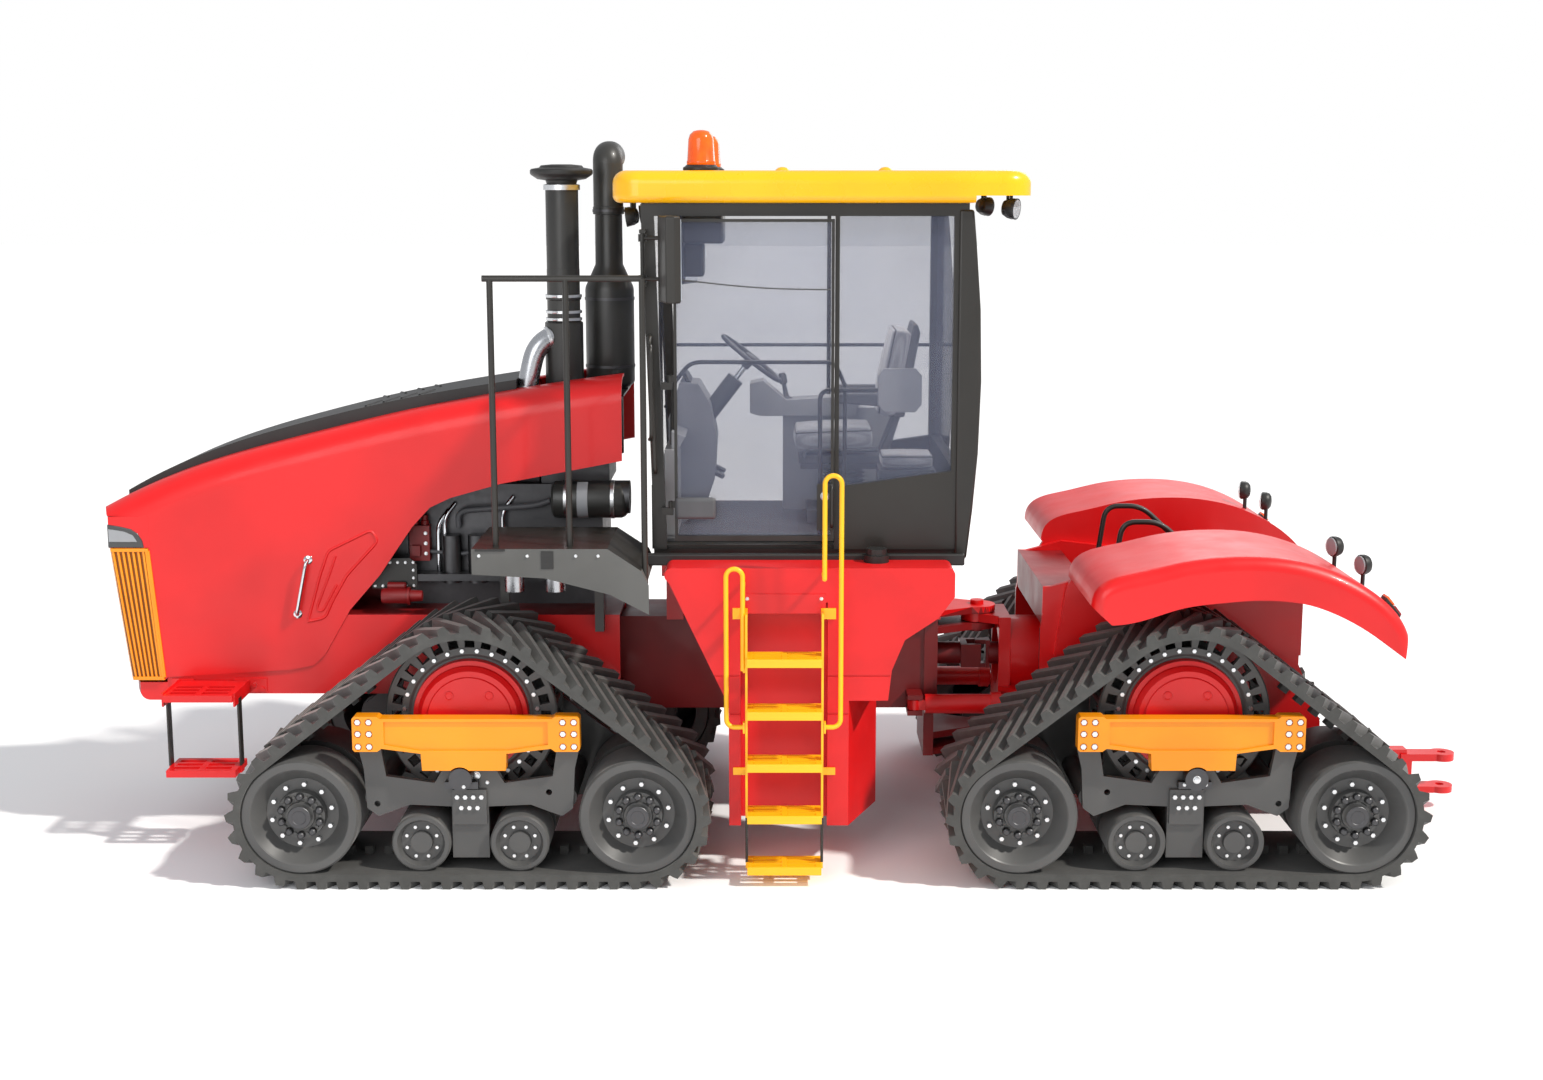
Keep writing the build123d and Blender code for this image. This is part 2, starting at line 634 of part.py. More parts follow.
# ================================================================ rear frame, fenders and drawbar
rear_half = 600.0
rear_wall = 40.0
with BuildPart() as rear_frame:
    # Side plates, front cross box, middle box and floor.
    for side in (-1, 1):
        y0, y1 = sorted((side * (rear_half - rear_wall), side * rear_half))
        side_plate([
            (1420, 860), (1420, 1250), (1480, 1500), (1700, 1560), (2920, 1420), (2920, 1040), (3060, 700),
            (3060, 470), (2700, 470), (2500, 700), (1640, 700)], y0, y1)
    block(1430, 1640, -rear_half, rear_half, 1270, 1500)
    block(1640, 1700, -rear_half, rear_half, 700, 1500)
    block(2860, 2920, -rear_half, rear_half, 700, 1420)
    block(1700, 2860, -rear_half, rear_half, 700, 760)
    # Trunnion of the oscillation bearing, with the rear half of the drive shaft inside it.
    bar((bearing_front_x + 10, 0, roll_z), (1650, 0, roll_z), bearing_radius)
    bar((bearing_front_x + 9, 0, roll_z), (1560, 0, roll_z), 120, Mode.SUBTRACT)
    bar((pivot_x + 70, 0, roll_z), (1600, 0, roll_z), shaft_radius)
    block(pivot_x - 10, pivot_x + 80, -32, 32, roll_z - 85, roll_z - 60)
    block(pivot_x - 10, pivot_x + 80, -32, 32, roll_z + 60, roll_z + 85)
    block(pivot_x + 55, pivot_x + 80, -45, 45, roll_z - 85, roll_z + 85)
    # Rear axle housing and spindles.
    bar((rear_axle_x, -frame_plate_y - frame_plate + 5, axle_z),
        (rear_axle_x, frame_plate_y + frame_plate - 5, axle_z), housing_radius)
    bar((rear_axle_x, -spindle_y, axle_z), (rear_axle_x, spindle_y, axle_z), spindle_radius)
    # Hitch frame for the drawbar: a top and a bottom plate and the drawbar's pivot pin.
    block(2700, 3060, -rear_half, rear_half, 470, 510)
    block(2900, 3560, -260, 260, 390, 420)
    block(2900, 3560, -260, 260, 240, 270)
    for side in (-1, 1):
        y0, y1 = sorted((side * 230.0, side * 260.0))
        block(2900, 3060, y0, y1, 240, 510)
        block(3060, 3300, y0, y1, 240, 420)
    bar((3150, 0, 240), (3150, 0, 420), 30)
save(rear_frame.part, "rear_frame")

# Fenders: arched shells over the rear tracks, with an outer skirt and an inner apron down to the frame.
fender_outer_y = track_outer_y - 4
fender_inner_y = 640.0
fender_top = [(1576, 1560), (1604, 1655), (1834, 1748), (2064, 1802), (2279, 1828), (2527, 1826), (2746, 1788),
              (2966, 1702), (3120, 1604), (3225, 1496), (3268, 1418)]
fender_edge = [(3252, 1280), (3145, 1360), (3022, 1444), (2869, 1525), (2717, 1578), (2568, 1599), (2419, 1601),
               (2271, 1589), (2049, 1558), (1857, 1497), (1679, 1467)]
fender_skin = 32.0
fender_round = 70.0
with BuildPart() as rear_fenders:
    with BuildSketch(Plane.XZ.offset(fender_inner_y - 40)):
        with BuildLine():
            top = Spline(*fender_top)
            low = Spline(*fender_edge)
            Line(top @ 1, low @ 0)
            Line(low @ 1, top @ 0)
        make_face()
    extrude(amount=fender_outer_y - fender_inner_y + 40)
    outer_edges = rear_fenders.edges().filter_by(lambda e: e.center().Y < -fender_outer_y + 1)
    fillet(outer_edges.sort_by(Axis.Z)[-1], radius=fender_round)
    # Hollow under the skin, open below.
    with BuildSketch(Plane.XZ.offset(fender_inner_y)):
        with BuildLine():
            roof = Spline(*[(x + (34 if x < 1620 else -26 if x > 3200 else 0), z - fender_skin - 4)
                            for x, z in fender_top])
            Polyline(roof @ 1, (3228, 1000), (1610, 1000), roof @ 0)
        make_face()
    extrude(amount=fender_outer_y - fender_inner_y - fender_skin, mode=Mode.SUBTRACT)
    side_plate([(1500, 1100), (1560, 1500), (1640, 1640), (2130, 1770), (2420, 1795), (2700, 1755),
                (2920, 1680), (2920, 1100), (2500, 1180), (1900, 1180)], -fender_inner_y, -rear_half)
    mirror(about=Plane.XZ)
save(rear_fenders.part, "rear_fenders")

# Drawbar: swings on its pin inside the hitch frame; its clevis takes an implement's tongue.
hitch_x = 3985.0
hitch_bore = 26.0
with BuildPart() as drawbar:
    block(3150, 3760, -45, 45, 290, 370)
    bar((3150, 0, 290), (3150, 0, 370), 70)
    block(3720, hitch_x, -60, 60, 300, 345)
    block(3720, 3790, -60, 60, 100, 345)
    block(3720, hitch_x, -60, 60, 100, 140)
    bar((hitch_x, 0, 300), (hitch_x, 0, 345), 75)
    bar((hitch_x, 0, 100), (hitch_x, 0, 140), 75)
    bar((hitch_x, 0, 99), (hitch_x, 0, 346), hitch_bore, Mode.SUBTRACT)
    bar((3150, 0, 289), (3150, 0, 371), 30 + running, Mode.SUBTRACT)
save(drawbar.part, "drawbar")

# ================================================================ hood, grille and nose
hood_rear_x = -984.0
grille_top_z = 1715.0
grille_bottom_z = 934.0
band_top_z = 1893.0
notch_front_x = -1600.0  # notch in the hood round the exhaust and air cleaner
notch_half = 300.0
hood_side = [
    (-3660, 934), (-3643, 952), (-2930, 994), (-2790, 1020), (-2724, 1083), (-2569, 1350), (-2388, 1557),
    (-2290, 1700), (-2195, 1837), (-2090, 1950), (-1972, 2006), (-1684, 2087), (hood_rear_x, 2220)]
hood_crest = [(hood_rear_x, 2700), (-1670, 2600), (-2240, 2490), (-2820, 2350), (-3400, 2190), (-3900, 1985)]


def shoulders(form):
    """The two long edges where the hood's crown meets its sides."""
    return form.edges().filter_by(lambda e: e.length > 2500 and e.center().Z > 2000)


with BuildPart() as hood_shell:
    # Outer form: side outline, rounded shoulders and the bowed nose in plan.
    with BuildSketch(Plane.XZ.offset(-hood_half)):
        with BuildLine():
            crest = Spline(*hood_crest)
            Polyline(crest @ 1, (-4060, 1900), (-4060, grille_bottom_z), hood_side[0])
            lower = Polyline(*hood_side)
            Line(lower @ 1, crest @ 0)
        make_face()
    extrude(amount=2 * hood_half)
    fillet(shoulders(hood_shell), radius=150)
    with BuildSketch(Plane.XY.offset(800)):
        nose_outline(0, hood_half, -500)
    extrude(amount=2200, mode=Mode.INTERSECT)
    with BuildPart(mode=Mode.PRIVATE) as hollow:
        with BuildSketch(Plane.XZ.offset(-(hood_half - hood_wall))):
            with BuildLine():
                crest = Spline(*[(x + (60 if x == hood_rear_x else 0), z - hood_wall) for x, z in hood_crest])
                Polyline(crest @ 1, (-4060 + 40, 1880), (-4060 + 40, 700), (-924, 700), crest @ 0)
            make_face()
        extrude(amount=2 * (hood_half - hood_wall))
        fillet(shoulders(hollow), radius=150 - hood_wall)
        with BuildSketch(Plane.XY.offset(600)):
            nose_outline(hood_wall + 4, hood_half - hood_wall, -500)
        extrude(amount=2400, mode=Mode.INTERSECT)
    add(hollow.part, mode=Mode.SUBTRACT)
    # Room for the grille and headlight band, open to the front.
    side_plate([(-4100, 900), (-3656, 900), (-3716, grille_top_z), (-3716, band_top_z + 2), (-4100, band_top_z + 2)],
               -hood_half - 1, hood_half + 1, Mode.SUBTRACT)
    # Notch round the stacks, and the bed of the black top panel.
    block(notch_front_x, hood_rear_x + 1, -notch_half, notch_half, 2300, 2800, Mode.SUBTRACT)
save(hood_shell.part, "hood_shell")

with BuildPart() as hood_top_panel:
    # Raised black panel along the crest, tapering to the nose.
    with BuildSketch(Plane.XY.offset(1800)):
        with BuildLine():
            Polyline((-3880, -330), (-3300, -300), (notch_front_x - 8, -330), (notch_front_x - 8, 330),
                     (-3300, 300), (-3880, 330), close=True)
        make_face()
    extrude(amount=1000)
    with BuildSketch(Plane.XZ.offset(-340)):
        with BuildLine():
            low = Spline(*[(x, z + seat_gap) for x, z in hood_crest])
            high = Spline(*[(x, z + rise) for (x, z), rise in zip(hood_crest, (60, 55, 68, 72, 56, 24))])
            Line(low @ 1, high @ 1)
            Line(low @ 0, high @ 0)
        make_face()
    extrude(amount=680, mode=Mode.INTERSECT)
    # Headlight band across the nose.
    with BuildPart(mode=Mode.PRIVATE) as band:
        with BuildSketch(Plane.XY.offset(grille_top_z + seat_gap)):
            nose_outline(6, hood_half - 2, -3716 - seat_gap)
        extrude(amount=band_top_z - grille_top_z - 1)
        with BuildSketch(Plane.XY.offset(grille_top_z)):
            nose_outline(110, hood_half - 40, -3600)
        extrude(amount=300, mode=Mode.SUBTRACT)
    add(band.part)
save(hood_top_panel.part, "hood_top_panel")

bar_count = 15
with BuildPart() as grille:
    for wall, half, rear_x, over, mode in ((6, hood_half - 2, -3600, 0, Mode.ADD),
                                           (60, hood_half - 40, -3500, 1, Mode.SUBTRACT)):
        with BuildSketch(Plane.XY.offset(grille_bottom_z - over)) as foot:
            nose_outline(wall + grille_lean, half, rear_x)
        with BuildSketch(Plane.XY.offset(grille_top_z + over)) as head:
            nose_outline(wall, half, rear_x)
        loft([foot.sketch, head.sketch], ruled=True, mode=mode)
    # Its rear edges lean with the side panels, and its front leans back towards the foot.
    side_plate([(-3400, 900), (-3656 - seat_gap, 900), (-3716 - seat_gap, grille_top_z), (-3400, grille_top_z)],
               -600, 600, Mode.SUBTRACT)
    # Openings between the upright bars.
    pitch = 2 * (hood_half - 60) / bar_count
    for i in range(bar_count):
        y = -hood_half + 60 + pitch * (i + 0.5)
        block(-4100, -3835 + 40 * abs(y) / hood_half, y - pitch / 2 + 12, y + pitch / 2 - 12,
              grille_bottom_z + 45, grille_top_z - 40, Mode.SUBTRACT)
    for side in (-1, 1):
        # Slots for the hinge lugs of the nose base.
        y0, y1 = sorted((side * 54.0, side * 88.0))
        block(-4100, hood_hinge_x + 66, y0, y1, 900, hood_hinge_z + 40, Mode.SUBTRACT)
    bar((hood_hinge_x, -54, hood_hinge_z), (hood_hinge_x, 54, hood_hinge_z), 19)
    bar((hood_hinge_x, -55, hood_hinge_z), (hood_hinge_x, 55, hood_hinge_z), hood_pin_radius + running,
        Mode.SUBTRACT)
    for side in (-1, 1):
        # Relief for the ends of the pin beyond the lugs.
        y0, y1 = sorted((side * 50.0, side * 92.0))
        block(hood_hinge_x - 34, hood_hinge_x + 36, y0, y1, hood_hinge_z - 14, hood_hinge_z + 14, Mode.SUBTRACT)
save(grille.part, "grille")

# ================================================================ engine and stacks
exhaust_x = -1145.0
exhaust_y = 120.0
cleaner_x = -1365.0
cleaner_y = -120.0
engine_top_z = 2180.0
with BuildPart() as engine:
    block(-2450, -1120, -300, 300, 1480, 2050)
    block(-2400, -1500, -190, 190, 2050, engine_top_z)
    block(-1480, -1080, -260, 260, 2050, engine_top_z)
    block(-2350, -1150, -210, 210, frame_top_z, 1480)
    # Radiator and fan shroud behind the nose, standing on the carrier.
    block(-3480, -3300, -480, 480, frame_top_z, 1960)
    bar((-3300, 0, 1640), (-3180, 0, 1640), 300)
    bar((-3180, 0, 1640), (-2450, 0, 1640), 60)
    # Oil filters and air filter can on the left side.
    bar((-1330, -400, 1990), (-950, -400, 1990), 96)
    block(-1300, -1000, -400, -290, 1960, 2020)
    for x in (-2000, -1850):
        bar((x, -360, 1480), (x, -360, 1760), 55)
        block(x - 20, x + 20, -360, -290, 1600, 1640)
    block(-2330, -1100, -440, -300, 1500, 1540)
    block(-2420, -2260, -330, -300, 1640, 1980)
save(engine.part, "engine")

with BuildPart() as stacks:
    block(notch_front_x + 10, hood_rear_x - 4, -notch_half + 10, notch_half - 10, 2560, 2575)
    # Exhaust: muffler, pipe and curved outlet.
    with BuildSketch(Plane.XY.offset(engine_top_z)):
        with Locations((exhaust_x, exhaust_y)):
            Circle(75)
    extrude(amount=1600)
    with BuildSketch(Plane.XY.offset(2600)):
        with Locations((exhaust_x, exhaust_y)):
            Circle(145)
    extrude(amount=650, taper=0)
    with BuildSketch(Plane.XY.offset(3250)):
        with Locations((exhaust_x, exhaust_y)):
            Circle(145)
    extrude(amount=90, taper=36)
    with BuildSketch(Plane.XY.offset(3640)):
        with Locations((exhaust_x, exhaust_y)):
            Circle(90)
    extrude(amount=290)
    with BuildSketch(Plane.XY.offset(3930)):
        with Locations((exhaust_x, exhaust_y)):
            Circle(90)
    extrude(amount=90, taper=30)
    # Air cleaner: body, collar, tube and rain cap.
    for z0, z1, radius in ((engine_top_z, 2620, 90), (2620, 2990, 115), (2990, 3130, 120), (3130, 3720, 96),
                           (3720, 3800, 80), (3800, 3830, 165), (3830, 3900, 172)):
        with BuildSketch(Plane.XY.offset(z0)):
            with Locations((cleaner_x, cleaner_y)):
                Circle(radius)
        extrude(amount=z1 - z0)
save(stacks.part, "stacks")

# ================================================================ cab
cab_front_bottom_x = -790.0
cab_front_top_x = -850.0
cab_rear_x = 960.0
door_hinge_x = -690.0
door_free_x = 215.0
door_bottom_z = 1815.0
door_top_z = 3590.0
door_post_x = 232.0  # middle of the slim post that the door shuts against
door_post = 24.0  # its width
door_rim = 16.0  # width of the door's frame
panel_front_z = 2112.0  # top edge of the lower rear side panel
panel_rear_z = 2210.0
mirror_post_x = -830.0
mirror_post_y = 930.0
mirror_pin = 12.0
with BuildPart() as cab_frame:
    # Base rail and floor.
    block(-790, 940, -tank_inner_y + 20, tank_inner_y - 20, 1680, tank_top_z + 2)
    block(-790, 940, -cab_half + 20, cab_half - 20, tank_top_z + 2, cab_floor_z)
    block(-770, 930, -cab_half + 30, cab_half - 30, cab_floor_z, cab_floor_z + 20)
    # Corner posts, door posts and header.
    for side in (-1, 1):
        y = side * (cab_half - pillar / 2)
        beam((cab_front_bottom_x + 40, y, cab_floor_z), (cab_front_top_x + 40, y, cab_top_z - 4), pillar, 70, (0, 1, 0))
        beam((cab_rear_x - 50, y, cab_floor_z), (cab_rear_x - 50, y, cab_top_z), pillar, 80, (0, 1, 0))
        beam((door_post_x, y, cab_floor_z), (door_post_x, y, cab_top_z), pillar, door_post, (0, 1, 0))
        y0, y1 = sorted((side * (cab_half - pillar), side * cab_half))
        block(-840, cab_rear_x - 10, y0, y1, 3605, cab_top_z)
        # Lower rear side panel, falling towards the door post.
        side_plate([(door_post_x, cab_floor_z), (cab_rear_x - 30, cab_floor_z), (cab_rear_x - 30, panel_rear_z),
                    (door_post_x + door_post / 2, panel_front_z), (door_post_x, panel_front_z)], y0, y1)
    block(-840, -770, -cab_half + 10, cab_half - 10, 3605, cab_top_z)
    block(cab_rear_x - 80, cab_rear_x - 10, -cab_half + 10, cab_half - 10, 3605, cab_top_z)
    block(cab_rear_x - 80, cab_rear_x - 20, -cab_half + 20, cab_half - 20, cab_floor_z, 2210)
    block(-800, -740, -cab_half + 20, cab_half - 20, cab_floor_z, 2120)
    # Door hinge lugs on the left front post.
    for z in (2000, 2700, 3400):
        block(door_hinge_x - 50, door_hinge_x + 13, -cab_half - 37, -cab_half + 4, z - 40, z)
        bar((door_hinge_x, -cab_half - 24, z), (door_hinge_x, -cab_half - 24, z + 40), 8)
    # Arms and pins that the mirrors fold on.
    for side in (-1, 1):
        for z in (3226, 3514):
            y0, y1 = sorted((side * (cab_half - 10), side * (mirror_post_y + 16)))
            block(mirror_post_x - 16, mirror_post_x + 16, y0, y1, z, z + 20)
        bar((mirror_post_x, side * mirror_post_y, 3226), (mirror_post_x, side * mirror_post_y, 3534), mirror_pin)
    # Grab rail on the left front post.
    tube([(-800, -cab_half + 10, 2950), (-800, -cab_half - 70, 2950), (-775, -cab_half - 70, 2200),
          (-775, -cab_half + 10, 2200)], 12, 40)
save(cab_frame.part, "cab_frame")

with BuildPart() as cab_glass:
    pane_y = cab_half - 20
    pane_front_x = door_post_x + door_post / 2 + seat_gap
    pane_rear_x = cab_rear_x - 90 - seat_gap
    for side in (-1, 1):
        y0, y1 = sorted((side * (pane_y - glass), side * pane_y))
        side_plate([(pane_front_x, panel_front_z + 0.4), (pane_rear_x, panel_rear_z - 8.2),
                    (pane_rear_x, 3605 - seat_gap), (pane_front_x, 3605 - seat_gap)], y0, y1)
    door_side_x = door_post_x - door_post / 2 - seat_gap
    side_plate([(door_side_x, cab_floor_z + 21), (door_side_x, 3605 - seat_gap),
                (-764, 3605 - seat_gap), (-705, cab_floor_z + 21)],
               pane_y - glass, pane_y)
    beam((-786, 0, 2130), (-836, 0, 3602), 2 * (cab_half - pillar - seat_gap), glass, (0, 1, 0))
    block(cab_rear_x - 50, cab_rear_x - 50 + glass, -cab_half + pillar + seat_gap, cab_half - pillar - seat_gap,
          2211, 3605 - seat_gap)
save(cab_glass.part, "cab_glass")

with BuildPart() as cab_door:
    # Glazed door: a frame round one pane, its hinge eyes and a grab handle.
    door_y0 = -cab_half - 42
    door_y1 = -cab_half - 6
    block(door_hinge_x + 22, door_free_x, door_y0, door_y1, door_bottom_z, door_top_z)
    block(door_hinge_x + 22 + door_rim, door_free_x - door_rim, door_y0 - 1, door_y1 + 1, door_bottom_z + 30,
          door_top_z - door_rim, Mode.SUBTRACT)
    for z in (2000, 2700, 3400):
        bar((door_hinge_x, -cab_half - 24, z + 1), (door_hinge_x, -cab_half - 24, z + 36), 15)
        block(door_hinge_x, door_hinge_x + 30, -cab_half - 36, -cab_half - 12, z + 1, z + 36)
        bar((door_hinge_x, -cab_half - 24, z), (door_hinge_x, -cab_half - 24, z + 37), 8 + running, Mode.SUBTRACT)
    tube([(door_free_x - 11, door_y0 + 6, 1900), (door_free_x - 11, door_y0 - 45, 1900),
          (door_free_x - 11, door_y0 - 45, 2130), (door_free_x - 11, door_y0 + 6, 2130)], 10, 25)
with BuildPart() as door_pane:
    block(door_hinge_x + 22 + door_rim, door_free_x - door_rim, -cab_half - 27, -cab_half - 27 + glass,
          door_bottom_z + 30, door_top_z - door_rim)
save(Compound(children=[cab_door.part, door_pane.part]), "cab_door")

with BuildPart() as cab_roof:
    block(-1000, 1290, -roof_half, roof_half, cab_top_z + seat_gap, 3850)
    fillet(cab_roof.edges().filter_by(Axis.Z), radius=150)
    fillet(cab_roof.edges().group_by(Axis.Z)[-1], radius=70)
    fillet(cab_roof.edges().group_by(Axis.Z)[0], radius=40)
    # Step under the rear overhang where the work lamps sit.
    block(cab_rear_x + 20, 1300, -roof_half - 1, roof_half + 1, cab_top_z - 1, cab_top_z + 40, Mode.SUBTRACT)
save(cab_roof.part, "cab_roof")

# Interior.
seat_x = 300.0
cushion_top_z = 2400.0
wheel_centre = Vector(-250, 0, 2760)
wheel_axis = Vector(0.62, 0, 0.785).normalized()  # from the column up through the wheel
wheel_plane = Plane(origin=wheel_centre, x_dir=(0, 1, 0), z_dir=wheel_axis)
column_end = wheel_centre - wheel_axis * 150
shaft_top = wheel_centre - wheel_axis * 20
wheel_shaft = 15.0
with BuildPart() as cab_console:
    # Floor mat plinth, seat slide rails and pedestal.
    block(-740, 880, -700, 700, cab_floor_z + 20, cab_floor_z + 40)
    block(seat_x - 220, seat_x + 220, -200, 200, cab_floor_z + 40, cab_floor_z + 120)
    block(seat_x - 120, seat_x + 120, -130, 130, cab_floor_z + 120, 2120)
    block(seat_x - 260, seat_x + 260, -170, 170, 2120, 2150)
    # Front bulkhead, dash pod and steering column.
    block(-738, -640, -600, 600, cab_floor_z + 40, 2300)
    block(-640, -480, -170, 170, cab_floor_z + 40, 2480)
    beam((-560, 0, 2380), tuple(column_end), 110, 150, (0, 1, 0))
    bar(tuple(column_end), tuple(shaft_top), wheel_shaft)
    # Right-hand armrest console and the seat for a passenger on the left.
    block(-60, 600, 330, 480, cab_floor_z + 40, 2440)
    block(-180, 0, 300, 500, 2360, 2470)
    block(480, 800, -640, -330, cab_floor_z + 40, 2190)
with BuildPart() as buddy_cushion:
    block(480, 800, -640, -330, 2190, 2270)
    fillet(buddy_cushion.edges(), radius=20)
save(Compound(children=[cab_console.part, buddy_cushion.part]), "cab_console")

with BuildPart() as seat_pan:
    block(seat_x - 270, seat_x + 270, -200, 200, 2150, 2220)
    block(seat_x + 200, seat_x + 330, -120, 120, 2220, 2420)
with BuildPart() as seat_cushion:
    block(seat_x - 320, seat_x + 190, -250, 250, 2220, cushion_top_z)
    fillet(seat_cushion.edges(), radius=45)
with BuildPart() as seat_back:
    side_plate([(seat_x + 205, 2420), (seat_x + 340, 2420), (seat_x + 440, 2930), (seat_x + 420, 2990),
                (seat_x + 350, 2990), (seat_x + 300, 2930)], -240, 240)
    fillet(seat_back.edges().filter_by(Axis.Y), radius=25)
save(Compound(children=[seat_pan.part, seat_cushion.part, seat_back.part]), "operator_seat")

wheel_radius = 225.0
with BuildPart() as steering_wheel:
    with BuildSketch(wheel_plane.offset(-13)):
        Circle(wheel_radius)
        Circle(wheel_radius - 28, mode=Mode.SUBTRACT)
        for angle in (90, 210, 330):
            with PolarLocations((wheel_radius - 14) / 2, 1, start_angle=angle):
                Rectangle(wheel_radius - 14, 26)
        Circle(45)
    extrude(amount=26)
    with BuildSketch(wheel_plane.offset(-70)):
        Circle(28)
        Circle(wheel_shaft + running, mode=Mode.SUBTRACT)
    extrude(amount=57)
save(steering_wheel.part, "steering_wheel")

# ================================================================ tanks, ladder, platform and steps
recess_x = (-300.0, 178.0)  # recess in the tank behind the ladder
with BuildPart() as fuel_tanks:
    side_plate([
        (-770, tank_top_z), (870, tank_top_z), (870, 1560), (780, 1440), (600, 1320), (530, 1150), (511, 980),
        (470, 980), (470, tank_bottom_z), (-365, tank_bottom_z), (-365, 950), (-690, 1640)],
        -tank_outer_y, -tank_inner_y)
    fillet(fuel_tanks.edges().filter_by(Axis.Y).group_by(Axis.Z)[-1], radius=40)
    # Rear chamfer of the lower box, which leaves room for the rear track in a turn.
    flat_plate([(295, -tank_outer_y - 1), (600, -tank_outer_y - 1), (600, -750), (470, -750)],
               tank_bottom_z - 1, 979, Mode.SUBTRACT)
    # Recess behind the ladder and two shallow seam grooves round the outer face.
    block(recess_x[0], recess_x[1], -tank_outer_y - 1, -tank_outer_y + 170, tank_bottom_z - 1, 1530, Mode.SUBTRACT)
    for z in (905, 1120):
        block(-700, 900, -tank_outer_y - 1, -tank_outer_y + 6, z - 5, z + 5, Mode.SUBTRACT)
    mirror(about=Plane.XZ)
with BuildPart() as fuel_cap:
    with BuildSketch(Plane.XY.offset(tank_top_z)):
        with Locations((450, -1000)):
            Circle(70)
    extrude(amount=40)
    with BuildSketch(Plane.XY.offset(tank_top_z + 40)):
        with Locations((450, -1000)):
            RegularPolygon(58, 12)
    extrude(amount=35)
save(Compound(children=[fuel_tanks.part, fuel_cap.part]), "fuel_tanks")

ladder_x = (-272.0, 152.0)
ladder_y = (-1470.0, -1262.0)
top_tread_z = 1270.0
tread_pitch = 290.0
tread_count = 5
stile = 12.0
with BuildPart() as access_ladder:
    for i in range(tread_count):
        z = top_tread_z - i * tread_pitch
        x0, x1 = ladder_x
        block(x0 + stile, x1 - stile, ladder_y[0], ladder_y[1], z - 34, z)
        for j in range(3):
            y = ladder_y[0] + 34 + j * 58
            for x in (x0 + 40, (x0 + x1) / 2 + 14):
                block(x, x + 158, y, y + 34, z - 35, z + 1, Mode.SUBTRACT)
    for x in (ladder_x[0], ladder_x[1] - stile):
        low_z = top_tread_z - (tread_count - 1) * tread_pitch - 34
        block(x, x + stile, ladder_y[1] - 110, ladder_y[1] - 50, low_z, 1500)
        block(x, x + stile, ladder_y[1] - 50, -tank_outer_y, 1440, 1500)
        block(x, x + stile, ladder_y[1] - 50, -tank_outer_y, 560, 600)
    # Brackets widen to the tank's face on both sides of the recess.
    block(ladder_x[0] - 70, ladder_x[0] + stile, -tank_outer_y - 12, -tank_outer_y, 1440, 1500)
    block(ladder_x[1] - stile, ladder_x[1] + 70, -tank_outer_y - 12, -tank_outer_y, 1440, 1500)
    block(ladder_x[0] - 70, ladder_x[0] + stile, -tank_outer_y - 12, -tank_outer_y, 560, 600)
    block(ladder_x[1] - stile, ladder_x[1] + 70, -tank_outer_y - 12, -tank_outer_y, 560, 600)
    # Yellow handrails on both sides.
    for x, toe, top in ((-375.0, -285.0, 1745.0), (245.0, 155.0, 2250.0)):
        tube([(toe, -1350, 870), (x, -1350, 870), (x, -1350, top), (toe, -1350, top), (toe, -1350, top - 560)],
             yellow_rail_radius, 45)
        block(min(toe, toe + 2), max(toe, toe + 2) + 8, -1372, -1330, 840, 900)
    bar((-285, -1350, 1185), (-264, -1350, 1185), yellow_rail_radius)
    bar((155, -1350, 1690), (155, -tank_outer_y, 1690), yellow_rail_radius)
    bar((-285, -1350, 1640), (-285, -tank_outer_y, 1640), yellow_rail_radius)
save(access_ladder.part, "access_ladder")

platform_y = (-1330.0, -620.0)
rail_y = -1240.0
rail_top_z = 3285.0
with BuildPart() as service_platform:
    side_plate([(-1740, 1850), (-1010, 1850), (-830, 1730), (-790, 1650), (-790, 1490), (-1000, 1600),
                (-1350, 1690), (-1740, 1710)], platform_y[0], platform_y[0] + 8)
    side_plate([(-1740, 1850), (-1010, 1850), (-830, 1730), (-800, 1660), (-808, 1656), (-836, 1722),
                (-1013, 1842), (-1740, 1842)], platform_y[0], platform_y[1])
    side_plate([(-1740, 1850), (-1010, 1850), (-1010, 1710), (-1740, 1710)], platform_y[1] - 8, platform_y[1])
    block(-1740, -1732, platform_y[0], platform_y[1], 1720, 1850)
    # Brackets to the frame.
    for x in (-1660, -1120):
        block(x - 25, x + 25, platform_y[1] - 8, -frame_half, 1240, 1320)
        block(x - 25, x + 25, platform_y[1] - 8, platform_y[1] + 30, 1240, 1842)
    # Posts and top rail.
    for x in (-1620, -1220, -815):
        foot_z = 1850 if x < -1100 else 1665
        bar((x, rail_y, foot_z - 20), (x, rail_y, rail_top_z), rail_radius)
    bar((-1660, rail_y, rail_top_z), (-815, rail_y, rail_top_z), rail_radius)
    # Two canisters under the deck.
    for x in (-1590, -1360):
        with BuildSketch(Plane.XY.offset(1500)):
            with Locations((x, -720)):
                Circle(56)
        extrude(amount=343)
save(service_platform.part, "service_platform")

